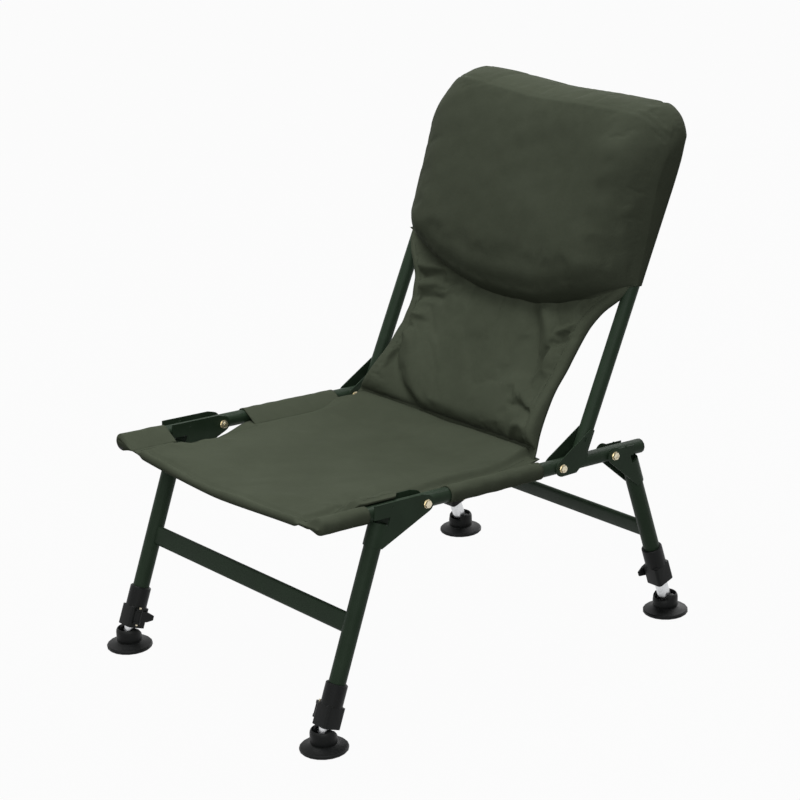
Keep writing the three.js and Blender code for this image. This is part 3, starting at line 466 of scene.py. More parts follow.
def dome(value: Array) -> Array:
    """Quarter circle: steep from 0, level at 1."""
    return np.sqrt(1 - (1 - np.clip(value, 0, 1)) ** 2)


def even(across: Array) -> Array:
    """Leaves columns evenly spread."""
    return across


def crowded(across: Array) -> Array:
    """Crowds columns towards the sides."""
    return np.sin(across * math.pi / 2)


def bell(offset: Array, width: float) -> Array:
    """Bell curve: 1 in its middle, fading over a width."""
    return np.exp(-((offset / width) ** 2))


@dataclass(frozen=True)
class Ramp:
    """A smooth rise from 0 at its start to 1 a length on; a length below 0 runs backwards."""

    start: float
    length: float

    def __call__(self, at: Array) -> Array:
        """Reads the ramp."""
        return smooth((at - self.start) / self.length)


@dataclass(frozen=True)
class Seams:
    """How firmly a cushion's front is sewn: at its sides and its lower and upper ends."""

    sides: Ramp
    low: Ramp
    high: Ramp

    def __call__(self, u: Array, v: Array) -> Array:
        """Reads the hold at a place: 0 is free, 1 is sewn."""
        return np.maximum(self.sides(np.abs(u)), np.maximum(self.low(v), self.high(v)))


@dataclass(frozen=True)
class Line:
    """A smooth line through places in rising order, each with its value."""

    pairs: Pairs

    def __call__(self, at: Array) -> Array:
        """Reads the line.

        Args:
            at: where it is read.

        Returns:
            The values, eased between the places by a monotone cubic.
        """
        x, y = np.array(self.pairs, float).T
        slope = np.diff(y) / np.diff(x)
        lean = np.zeros(len(x))
        lean[0], lean[-1] = slope[0], slope[-1]
        for i in range(1, len(x) - 1):
            if slope[i - 1] * slope[i] > 0:
                lean[i] = 2 * slope[i - 1] * slope[i] / (slope[i - 1] + slope[i])
        at = np.clip(at, x[0], x[-1])
        i = np.clip(np.searchsorted(x, at) - 1, 0, len(x) - 2)
        h = x[i + 1] - x[i]
        t = (at - x[i]) / h
        return (
            y[i] * (2 * t**3 - 3 * t**2 + 1)
            + h * lean[i] * (t**3 - 2 * t**2 + t)
            + y[i + 1] * (3 * t**2 - 2 * t**3)
            + h * lean[i + 1] * (t**3 - t**2)
        )


@dataclass(frozen=True)
class Fold:
    """A crease in cloth: a ridge, or a trench where its height is negative.

    The line runs from start to end in the sheet's own millimetres and may bow. It fades
    in from before its start and out past its end.
    """

    start: tuple[float, float]
    end: tuple[float, float]
    width: float
    height: float
    bow: float = 0.0
    fade_in: Ramp = Ramp(-0.25, 0.4)
    fade_out: Ramp = Ramp(1.25, -0.45)

    def lift(self, x: Array, y: Array) -> Array:
        """Height of the fold at points of the sheet.

        Args:
            x: places across.
            y: places along.

        Returns:
            The lift in millimetres.
        """
        ax, ay = self.start
        dx, dy = self.end[0] - ax, self.end[1] - ay
        length = math.hypot(dx, dy)
        along = ((x - ax) * dx + (y - ay) * dy) / length**2
        off = ((x - ax) * dy - (y - ay) * dx) / length
        off = off - self.bow * 4 * np.clip(along, 0, 1) * (1 - np.clip(along, 0, 1))
        fade = self.fade_in(along) * self.fade_out(along)
        return self.height * fade * bell(off, self.width)


@dataclass(frozen=True)
class Ripple:
    """Soft, seeded unevenness of stuffed cloth, as a sum of waves. Millimetres."""

    height: float
    seed: int
    wave: float
    count: int = 14

    def __call__(self, x: Array, y: Array) -> Array:
        """Reads the pattern.

        Args:
            x: places across.
            y: places along.

        Returns:
            Values of about minus to plus the height.
        """
        rng = np.random.default_rng(self.seed)
        total = np.zeros_like(x, dtype=float)
        for _ in range(self.count):
            turn = rng.uniform(0, math.pi)
            k = 2 * math.pi / (self.wave * rng.uniform(0.6, 1.7))
            phase = rng.uniform(0, 2 * math.pi)
            run = x * math.cos(turn) + y * math.sin(turn)
            total += np.sin(k * run + phase) * rng.uniform(0.4, 1.0)
        return self.height * (total / math.sqrt(self.count))


def linked(name: str, mesh: bpy.types.Mesh) -> Piece:
    """Puts a mesh into the scene as an object at the origin."""
    obj = bpy.data.objects.new(name, mesh)
    bpy.context.scene.collection.objects.link(obj)
    return obj


def mesh_piece(
    name: str, points: Array, faces: Sequence[Sequence[int]], lay: Array | None = None
) -> Piece:
    """A mesh object at the origin.

    Args:
        name: the piece's name.
        points: vertices in metres, in the row frame.
        faces: corner numbers of each face.
        lay: cloth coordinates of each vertex, in metres.

    Returns:
        The new object, shaded smooth.
    """
    mesh = bpy.data.meshes.new(name)
    mesh.from_pydata(points.tolist(), [], [tuple(int(i) for i in f) for f in faces])
    mesh.validate()
    mesh.polygons.foreach_set("use_smooth", [True] * len(mesh.polygons))
    if lay is not None:
        attribute = mesh.attributes.new("lay", "FLOAT_VECTOR", "POINT")
        attribute.data.foreach_set("vector", np.asarray(lay, np.float32).ravel())
    return linked(name, mesh)


def settle_normals(obj: Piece) -> None:
    """Welds a closed mesh and turns its faces outwards.

    Args:
        obj: the piece that is changed.
    """
    work = bmesh.new()
    work.from_mesh(obj.data)
    bmesh.ops.remove_doubles(work, verts=work.verts, dist=WELD)
    bmesh.ops.recalc_face_normals(work, faces=work.faces)
    work.to_mesh(obj.data)
    work.free()


def baked(obj: Piece) -> Piece:
    """Turns an object's modifiers into its plain mesh.

    Args:
        obj: the piece that is changed.

    Returns:
        The same piece, without modifiers.
    """
    bpy.context.view_layer.update()
    graph = bpy.context.evaluated_depsgraph_get()
    mesh = bpy.data.meshes.new_from_object(obj.evaluated_get(graph))
    for modifier in list(obj.modifiers):
        obj.modifiers.remove(modifier)
    obj.data = mesh
    return obj


def joined(parts: Sequence[Piece], name: str) -> Piece:
    """Joins meshes into one piece.

    Args:
        parts: objects at the origin, which are removed.
        name: the result's name.

    Returns:
        One object that holds them all.
    """
    work = bmesh.new()
    for part in parts:
        work.from_mesh(part.data)
    mesh = bpy.data.meshes.new(name)
    work.to_mesh(mesh)
    work.free()
    for part in parts:
        bpy.data.objects.remove(part)
    return linked(name, mesh)


def places(mesh: bpy.types.Mesh) -> Array:
    """The places of a mesh's vertices, one row each."""
    flat = np.empty(len(mesh.vertices) * 3)
    mesh.vertices.foreach_get("co", flat)
    return flat.reshape(-1, 3)


@dataclass(frozen=True)
class Settling:
    """How loose cloth is blown up and allowed to crease between its seams."""

    slack: float
    pressure: float
    cap: float = 4.0
    frames: int = 16
    quality: int = 4
    mass: float = 0.25
    stiffness: float = 12.0
    shear_share: float = 0.3
    bending: float = 0.08

    def run(self, obj: Piece, held: Array) -> Array:
        """Simulates the cloth.

        Args:
            obj: the closed form, in metres; it is removed.
            held: how firmly each vertex is held, 0 to 1.

        Returns:
            How far each vertex moved, in metres and capped.
        """
        group = obj.vertex_groups.new(name="held")
        for level in np.unique(np.round(held, 2)):
            picked = np.nonzero(np.round(held, 2) == level)[0]
            group.add([int(i) for i in picked], float(level), "REPLACE")
        cloth = obj.modifiers.new("cloth", "CLOTH")
        cloth.point_cache.frame_start = 1
        cloth.point_cache.frame_end = self.frames
        give = cloth.settings
        give.quality = self.quality
        give.mass = self.mass
        give.tension_stiffness = self.stiffness
        give.compression_stiffness = self.stiffness
        give.shear_stiffness = self.stiffness * self.shear_share
        give.bending_stiffness = self.bending
        give.vertex_group_mass = "held"
        give.shrink_min = -self.slack
        give.use_pressure = True
        give.uniform_pressure_force = self.pressure
        give.effector_weights.gravity = 0.0
        cloth.collision_settings.use_collision = False
        start = places(obj.data)
        for number in range(1, self.frames + 1):
            bpy.context.scene.frame_set(number)
        graph = bpy.context.evaluated_depsgraph_get()
        moved = places(obj.evaluated_get(graph).data) - start
        bpy.data.objects.remove(obj)
        bpy.context.scene.frame_set(1)
        length = np.maximum(np.linalg.norm(moved, axis=1), 1e-9)
        limit = self.cap * MM
        log.info("cloth moved by up to %.1f mm before the cap", length.max() / MM)
        return moved * (limit * np.tanh(length / limit) / length)[:, None]


def spread(values: Array, rows: int, columns: int) -> Array:
    """Reads a coarse grid of vectors on a finer one.

    Args:
        values: rows by columns by 3.
        rows: number of rows wanted.
        columns: number of columns wanted.

    Returns:
        The finer grid, eased between the coarse one's points.
    """
    last_row, last_column = values.shape[0] - 1, values.shape[1] - 1
    r = np.linspace(0, last_row, rows)
    c = np.linspace(0, last_column, columns)
    r0 = np.minimum(r.astype(int), last_row - 1)
    c0 = np.minimum(c.astype(int), last_column - 1)
    down = smooth(r - r0)[:, None, None]
    across = smooth(c - c0)[None, :, None]
    low = values[r0][:, c0] * (1 - across) + values[r0][:, c0 + 1] * across
    high = values[r0 + 1][:, c0] * (1 - across) + values[r0 + 1][:, c0 + 1] * across
    return low * (1 - down) + high * down


Surface = Callable[[int, Array, Array], Array]
Held = Callable[[Array, Array], Array]
Ease = Callable[[Array], Array]


@dataclass(frozen=True)
class Shell:
    """A closed cushion form: a front and a back face over one grid."""

    columns: int
    rows: int

    def grid(self) -> tuple[Array, Array]:
        """The grid's across (-1 to 1) and along (0 to 1) places."""
        return np.meshgrid(np.linspace(-1, 1, self.columns + 1), np.linspace(0, 1, self.rows + 1))

    def faces(self) -> list[tuple[int, int, int, int]]:
        """Quads of both faces and of the rim that closes them.

        Returns:
            The four corner numbers of each.
        """
        stride = self.columns + 1
        layer = stride * (self.rows + 1)
        quads = []
        for row in range(self.rows):
            for column in range(self.columns):
                a = row * stride + column
                b = a + layer
                quads.append((a, a + 1, a + stride + 1, a + stride))
                quads.append((b + stride, b + stride + 1, b + 1, b))
        top = self.rows * stride
        side = self.columns
        rim = [(c, c + 1) for c in range(side)]
        rim += [(top + c + 1, top + c) for c in range(side)]
        rim += [((r + 1) * stride, r * stride) for r in range(self.rows)]
        rim += [(r * stride + side, (r + 1) * stride + side) for r in range(self.rows)]
        return quads + [(b, a, a + layer, b + layer) for a, b in rim]

    def points(self, surface: Surface, u: Array) -> Array:
        """The points of the front face, then of the back one, over places across."""
        v = self.grid()[1]
        return np.concatenate([surface(side, u, v).reshape(-1, 3) for side in (1, -1)])

    def piece(
        self,
        name: str,
        place: Place,
        surface: Surface,
        ease: Ease,
        held: Held | None = None,
        settling: Settling | None = None,
    ) -> Piece:
        """Makes the closed form, whose front may settle as cloth.

        Args:
            name: the piece's name.
            place: the local frame of the points.
            surface: the form's faces.
            ease: spreads the columns across.
            held: how firmly the front is held at a place, 0 to 1.
            settling: the cloth's looseness, or None for a form that stays as shaped.

        Returns:
            The new object.
        """
        local = self.points(surface, ease(self.grid()[0]))
        points = place.world(local)
        if settling is not None:
            coarse = Shell(self.columns * 3 // 5, self.rows * 3 // 5)
            u, v = coarse.grid()
            u = ease(u)
            shape = place.world(coarse.points(surface, u))
            form = mesh_piece("settling_form", shape, coarse.faces())
            grip = np.concatenate([held(u, v).ravel(), np.ones(u.size)])
            front = settling.run(form, grip)[: u.size].reshape(*u.shape, 3)
            front = spread(front, self.rows + 1, self.columns + 1).reshape(-1, 3)
            points[: len(front)] += front
        obj = mesh_piece(name, points, self.faces(), local * MM)
        settle_normals(obj)
        return obj


def geometry_tree(name: str) -> bpy.types.NodeTree:
    """An empty Geometry Nodes group that takes geometry in and gives it out.

    Args:
        name: the group's name.

    Returns:
        The new group.
    """
    tree = bpy.data.node_groups.new(name, "GeometryNodeTree")
    for way in ("INPUT", "OUTPUT"):
        tree.interface.new_socket("Geometry", in_out=way, socket_type="NodeSocketGeometry")
    return tree


class StitchTree:
    """A row of sewing stitches along a line, as a Geometry Nodes tree."""

    length_share: float = 0.72
    thread_width: float = 0.55
    uneven: tuple[float, float] = (0.85, 1.1)

    def __init__(self, material: bpy.types.Material) -> None:
        """Builds the tree: line, stitch, turn and finish.

        Args:
            material: the thread's finish.
        """
        self.tree = geometry_tree("stitch_row")
        lengths = ("Stitch pitch", "Stitch length", "Thread width")
        kinds = dict.fromkeys(lengths, "Float") | {"Seed": "Int"}
        self.sockets = [
            self.tree.interface.new_socket(name, in_out="INPUT", socket_type=f"NodeSocket{kind}")
            for name, kind in kinds.items()
        ]
        g = Graph(self.tree)
        given = g.node("NodeGroupInput")
        pitch, length, width, seed = (given.output(socket.name) for socket in self.sockets)
        line = g.node("GeometryNodeMeshToCurve", {"Mesh": given})
        inputs = {"Curve": line, "Length": pitch}
        spaced = g.node("GeometryNodeResampleCurve", inputs, mode="LENGTH")
        ball = g.node("GeometryNodeMeshIcoSphere", {"Radius": 0.5, "Subdivisions": 1})
        size = g.node("ShaderNodeCombineXYZ", {0: width, 1: width, 2: length})
        along = {"Vector": g.node("GeometryNodeInputTangent")}
        turn = g.node("FunctionNodeAlignRotationToVector", along, "Rotation", axis="Z")
        inputs = {2: self.uneven[0], 3: self.uneven[1], "Seed": seed}
        vary = g.node("FunctionNodeRandomValue", inputs, output=1, data_type="FLOAT")
        scaled = g.node("ShaderNodeVectorMath", {0: size, "Scale": vary}, operation="SCALE")
        inputs = {"Points": spaced, "Instance": ball, "Rotation": turn, "Scale": scaled}
        placed = g.node("GeometryNodeInstanceOnPoints", inputs)
        real = g.node("GeometryNodeRealizeInstances", {"Geometry": placed})
        coat = g.node("GeometryNodeSetMaterial", {"Geometry": real, "Material": material})
        g.node("NodeGroupOutput", {0: coat}, output=None)

    def sew(
        self, name: str, lines: Sequence[Array], pitch: float, seed: int
    ) -> Piece:
        """Sews rows of stitches along lines.

        Args:
            name: the piece's name.
            lines: polylines in metres, in the row frame.
            pitch: distance from stitch to stitch in millimetres.
            seed: fixes the unevenness.

        Returns:
            The stitches as one plain mesh.
        """
        points, edges = [], []
        for line in lines:
            start = len(points)
            points.extend(line.tolist())
            edges += [(i, i + 1) for i in range(start, len(points) - 1)]
        mesh = bpy.data.meshes.new(name)
        mesh.from_pydata(points, edges, [])
        obj = linked(name, mesh)
        modifier = obj.modifiers.new("stitches", "NODES")
        modifier.node_group = self.tree
        stitch = pitch * MM
        values = (stitch, stitch * self.length_share, self.thread_width * MM, seed)
        for socket, value in zip(self.sockets, values):
            modifier[socket.identifier] = value
        return baked(obj)


class SmoothTree:
    """Welds a CAD node's loose triangles and shades its round faces smooth."""

    def __init__(self, angle: float = 34.0) -> None:
        """Builds the tree.

        Args:
            angle: sharper edges than this stay sharp, in degrees.
        """
        self.tree = geometry_tree("round_faces")
        g = Graph(self.tree)
        given = g.node("NodeGroupInput")
        welded = g.node("GeometryNodeMergeByDistance", {"Geometry": given, "Distance": WELD})
        faces = g.node("GeometryNodeSetShadeSmooth", {"Geometry": welded})
        bend = g.node("GeometryNodeInputMeshEdgeAngle", output="Unsigned Angle")
        sharp = g.node(
            "FunctionNodeCompare",
            {0: bend, 1: math.radians(angle)},
            output="Result",
            data_type="FLOAT",
            operation="GREATER_THAN",
        )
        inputs = {"Geometry": faces, "Selection": sharp, "Shade Smooth": False}
        edges = g.node("GeometryNodeSetShadeSmooth", inputs, domain="EDGE")
        g.node("NodeGroupOutput", {0: edges}, output=None)

    def dress(self, obj: Piece) -> None:
        """Adds the tree to an object."""
        modifier = obj.modifiers.new("round_faces", "NODES")
        modifier.node_group = self.tree


@dataclass
class SeatCover:
    """Padded seat slung between the rails, with sleeves sewn round them.

    All sizes are in millimetres of the rails' frame. Side widths follow half_width, which
    is drawn in where the front brackets pass. On the left the cloth climbs over the
    bracket's inner flange between over_front and over_rear.
    """

    finishes: Finishes
    stitches: StitchTree
    front: float = -443.0
    rear: float = 18.0
    rear_bow: float = 26.0
    half_width: Line = Line((
        (-470, 226), (-366, 226), (-358, 212), (-346, 195), (-322, 196), (-300, 200),
        (-270, 210), (-246, 219), (-214, 226), (-60, 226), (-20, 217), (12, 208),
    ))
    lip: float = 12.0
    lip_reach: float = 95.0
    sling_half: float = 230.0
    sling_ease: float = 0.012
    sling_power: float = 1.15
    sag: float = 18.0
    edge_drop: float = 5.0
    free_drop: float = 6.0
    free_front: Ramp = Ramp(-372, 26)
    free_rear: Ramp = Ramp(-206, -60)
    free_side: Ramp = Ramp(150, 50)
    pad: float = 13.0
    band: float = 3.2
    seam_x: float = 198.0
    seam_ease: float = 12.0
    hem: float = 13.0
    hem_width: float = 3.2
    hem_share: float = 0.55
    front_round: float = 6.0
    rear_round: float = 25.0
    crown: float = 3.6
    rear_crown: float = 6.5
    rear_crown_reach: float = 80.0
    front_crown_reach: float = 60.0
    corner_reach: float = 30.0
    corner_power: int = 6
    left_corner: float = 7.0
    right_corner: float = -6.0
    over_front: Ramp = Ramp(-390, 34)
    over_rear: Ramp = Ramp(-272, -36)
    over_side: Ramp = Ramp(0.86, 0.14)
    over_gain: float = 1.3
    over_flange: float = 240.0
    flange_top: float = 17.2
    climb_side: Ramp = Ramp(190, 36)
    droop: float = 2.4
    droop_side: Ramp = Ramp(229, 9)
    swell: Ripple = Ripple(1.9, 3, 150.0)
    crimp: Ripple = Ripple(0.5, 5, 48.0)
    deepest: float = -1.5
    sleeve_radius: float = 12.9
    sleeve_wall: float = 1.6
    sleeve_seam: float = 8.0
    sleeve_steps: tuple[int, int, int] = (8, 40, 44)
    front_sleeve: tuple[float, float] = (-450.0, -361.0)
    rear_sleeve: tuple[float, float] = (-213.0, -37.0)
    right_setback: float = 7.5
    sleeve_puff: float = 0.035
    sleeve_wave: float = 30.0
    sleeve_girth: float = 14.0
    drop_power: float = 1.5
    limp_reach: float = 9.5
    limp_end: float = -438.0
    limp_flat: float = 0.93
    limp_narrow: float = 0.5
    left_limp: tuple[float, float] = (-2.0, 0.0)
    right_limp: tuple[float, float] = (5.0, 9.0)
    pitch: float = 3.4
    stitch_lift: float = 0.4
    hem_row: float = 205.0
    side_row: tuple[float, float] = (12.0, -30.0)
    side_row_edge: float = 7.0
    side_row_seam: float = 4.0
    row_steps: tuple[int, int] = (120, 140)
    shell: Shell = Shell(columns=150, rows=130)
    column_power: float = 0.9
    folds: tuple[Fold, ...] = (
        Fold((-196, -392), (-150, -372), 7, 1.5),
        Fold((-198, -330), (-150, -300), 9, 1.6, 4),
        Fold((-150, -420), (-60, -380), 14, 1.2, 6),
        Fold((60, -424), (140, -380), 13, 1.4, -6),
        Fold((226, -352), (176, -344), 7, 2.6, 4),
        Fold((226, -332), (170, -318), 6, -2.4, -5),
        Fold((226, -318), (182, -300), 7, 2.4, 4),
        Fold((212, -380), (168, -372), 7, 1.8, 4),
        Fold((196, -350), (130, -330), 8, -1.6),
        Fold((196, -300), (120, -262), 9, 1.5, 5),
        Fold((190, -220), (120, -200), 8, -1.3),
        Fold((-194, -200), (-128, -170), 9, -1.4, 5),
        Fold((-196, -90), (-120, -100), 10, 1.3),
        Fold((196, -80), (110, -60), 10, 1.4),
        Fold((-60, -60), (40, -30), 16, -1.4, 6),
        Fold((20, -250), (110, -210), 22, 1.0, 8),
        Fold((-120, -250), (-30, -220), 24, -1.0, 8),
    )

    def middle(self, x: Array, y: Array) -> Array:
        """Height of the cloth's mid-surface over the rails' axis.

        Args:
            x: places across.
            y: places along.

        Returns:
            The heights: a sag that also drops where no sleeve holds the side.
        """
        u = np.sqrt((x / self.sling_half) ** 2 + self.sling_ease)
        bow = np.clip(u, 0, 1) ** self.sling_power
        free = self.free_front(y) * self.free_rear(y) * self.free_side(np.abs(x))
        sag = (self.sag - self.edge_drop) * (1 - bow)
        return -self.edge_drop - sag - self.free_drop * free

    def ease(self, across: Array) -> Array:
        """Crowds the columns a little towards the sides."""
        return np.sign(across) * np.abs(across) ** self.column_power

    def rear_line(self, u: Array) -> Array:
        """Where the seat meets the back: further back in the middle than at the sides."""
        return self.rear - self.rear_bow * np.abs(u) ** 2

    def surface(self, side: int, u: Array, v: Array) -> Array:
        """One face of the pad.

        Args:
            side: 1 for the top, -1 for the underside.
            u: places across, -1 to 1.
            v: places along, 0 to 1.

        Returns:
            Points in the rails' frame.
        """
        reach = self.rear_line(u) - self.front
        travel = v * reach
        left_over = reach - travel
        y = self.front + travel
        x = u * self.half_width(y)
        corner = np.where(u > 0, self.left_corner, self.right_corner)
        y = y - corner * np.abs(u) ** self.corner_power * smooth(1 - travel / self.corner_reach)
        over = self.over_front(y) * self.over_rear(y) * (u > 0)
        x = x + over * (self.over_flange - x) * self.over_side(u)
        inside = smooth((self.seam_x - np.abs(x)) / self.seam_ease)
        ends = dome(travel / self.front_round) * dome(left_over / self.rear_round)
        hem_line = 1 - self.hem_share * bell(travel - self.hem, self.hem_width)
        body = self.band + (self.pad - self.band) * inside * hem_line
        crown = self.crown + self.rear_crown * smooth(1 - left_over / self.rear_crown_reach)
        crown = crown * inside * smooth(travel / self.front_crown_reach)
        lift = self.swell(x, y) * inside + self.crimp(x, y) * inside
        for fold in self.folds:
            lift = lift + fold.lift(x, y)
        top = np.maximum(crown + lift, self.deepest) if side > 0 else 0.0
        half = (body / 2 + top) * ends
        middle = self.middle(x, y) + self.lip * smooth(1 - left_over / self.lip_reach)
        raised = np.clip(over * self.over_gain, 0, 1) * self.climb_side(x)
        edge = self.flange_top - self.droop * self.droop_side(x)
        middle = middle + raised * (edge - middle)
        return np.stack([x, y, middle + side * half], axis=-1)

    def sleeve_loop(self) -> Array:
        """The sleeve's outline: from the seam over a rail and back under it.

        Returns:
            Places across and up, from the rail's axis.
        """
        flat_steps, arc_steps, _ = self.sleeve_steps
        radius = self.sleeve_radius
        seam = SIZES.rail_x - (self.seam_x + self.sleeve_seam)
        turn = math.acos(radius / seam)
        arc = np.linspace(math.pi - turn, -math.pi + turn, arc_steps)
        run = np.linspace(0, 1, flat_steps)[:-1]
        across = -seam + run * (seam + radius * math.cos(arc[0]))
        top = np.stack([across, run * radius * math.sin(arc[0])], -1)
        bend = np.stack([radius * np.cos(arc), radius * np.sin(arc)], -1)
        return np.concatenate([top, bend, top[1:][::-1] * np.array([1, -1])])

    def sleeve(self, name: str, sign: int, start: float, end: float, seed: int) -> Piece:
        """One sleeve, whose front end is pressed flat where it passes the rail's end.

        Args:
            name: the piece's name.
            sign: 1 for the left rail, -1 for the right.
            start: front end along the rail.
            end: rear end along the rail.
            seed: fixes its unevenness.

        Returns:
            The sleeve as a cloth wall.
        """
        loop = self.sleeve_loop()
        rows, count = self.sleeve_steps[2], len(loop)
        seam_x = self.seam_x + self.sleeve_seam
        drop = self.middle(np.array([seam_x]), np.array([0.0]))[0]
        along, index = np.meshgrid(np.linspace(start, end, rows), np.arange(count), indexing="ij")
        reach, rise = loop[index, 0], loop[index, 1]
        flat = np.clip(-reach / (SIZES.rail_x - seam_x), 0, 1)
        rise = rise + drop * flat**self.drop_power
        uneven = Ripple(self.sleeve_puff, seed, self.sleeve_wave)
        puff = 1 + uneven(along, np.arctan2(rise, reach) * self.sleeve_girth)
        closing = min(start + self.limp_reach, self.limp_end)
        limp = np.zeros_like(along)
        if start < closing:
            limp = smooth((closing - along) / (closing - start))
        level, hang = self.left_limp if sign > 0 else self.right_limp
        rise = rise * puff * (1 - self.limp_flat * limp) + (level - hang * flat) * limp
        wide = np.where(reach > 0, puff * (1 - self.limp_narrow * limp), 1.0)
        x = sign * (SIZES.rail_x + reach * wide)
        points = np.stack([x, along, rise], -1).reshape(-1, 3)
        faces = []
        for row in range(rows - 1):
            for k in range(count):
                a, b = row * count + k, row * count + (k + 1) % count
                faces.append((a, b, b + count, a + count))
        obj = mesh_piece(name, SIZES.rails().world(points), faces, points * MM)
        settle_normals(obj)
        wall = obj.modifiers.new("wall", "SOLIDIFY")
        wall.thickness = self.sleeve_wall * MM
        wall.offset = -1
        return baked(obj)

    def build(self) -> list[Piece]:
        """Makes the seat with its sleeves, and its stitches.

        Returns:
            The pieces.
        """
        parts = [self.shell.piece("seat_cover", SIZES.rails(), self.surface, self.ease)]
        for sign, label in ((1, "left"), (-1, "right")):
            start, end = self.front_sleeve
            start = start if sign > 0 else start + self.right_setback
            parts.append(self.sleeve(f"front_sleeve_{label}", sign, start, end, seed=11 + sign))
            start, end = self.rear_sleeve
            parts.append(self.sleeve(f"rear_sleeve_{label}", sign, start, end, seed=21 + sign))
        cover = joined(parts, "seat_cover")
        cover.data.materials.append(self.finishes.by_slot[Slot.CLOTH])
        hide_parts("seat_pad")
        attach(cover, Body.FRAME.value)
        return [cover, self.sew()]

    def line(self, xs: Array, ys: Array) -> Array:
        """A line just over the top of the seat.

        Args:
            xs: places across.
            ys: places along.

        Returns:
            Points in the row frame.
        """
        u = np.clip(xs / self.half_width(ys), -1, 1)
        v = (ys - self.front) / (self.rear_line(u) - self.front)
        points = self.surface(1, u, v)
        points[:, 2] += self.stitch_lift
        return SIZES.rails().world(points)

    def sew(self) -> Piece:
        """Sews the front hem and the side seams.

        Returns:
            The stitches.
        """
        hem_steps, side_steps = self.row_steps
        start, end = self.side_row
        xs = np.linspace(-self.hem_row, self.hem_row, hem_steps)
        ys = np.linspace(self.front + start, end, side_steps)
        edge = self.half_width(ys) - self.side_row_edge
        inner = np.minimum(edge, self.seam_x + self.side_row_seam)
        lines = [self.line(xs, np.full_like(xs, self.front + self.hem))]
        lines += [self.line(sign * inner, ys) for sign in (1, -1)]
        rows = self.stitches.sew("seat_stitches", lines, self.pitch, seed=5)
        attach(rows, Body.FRAME.value)
        return rows


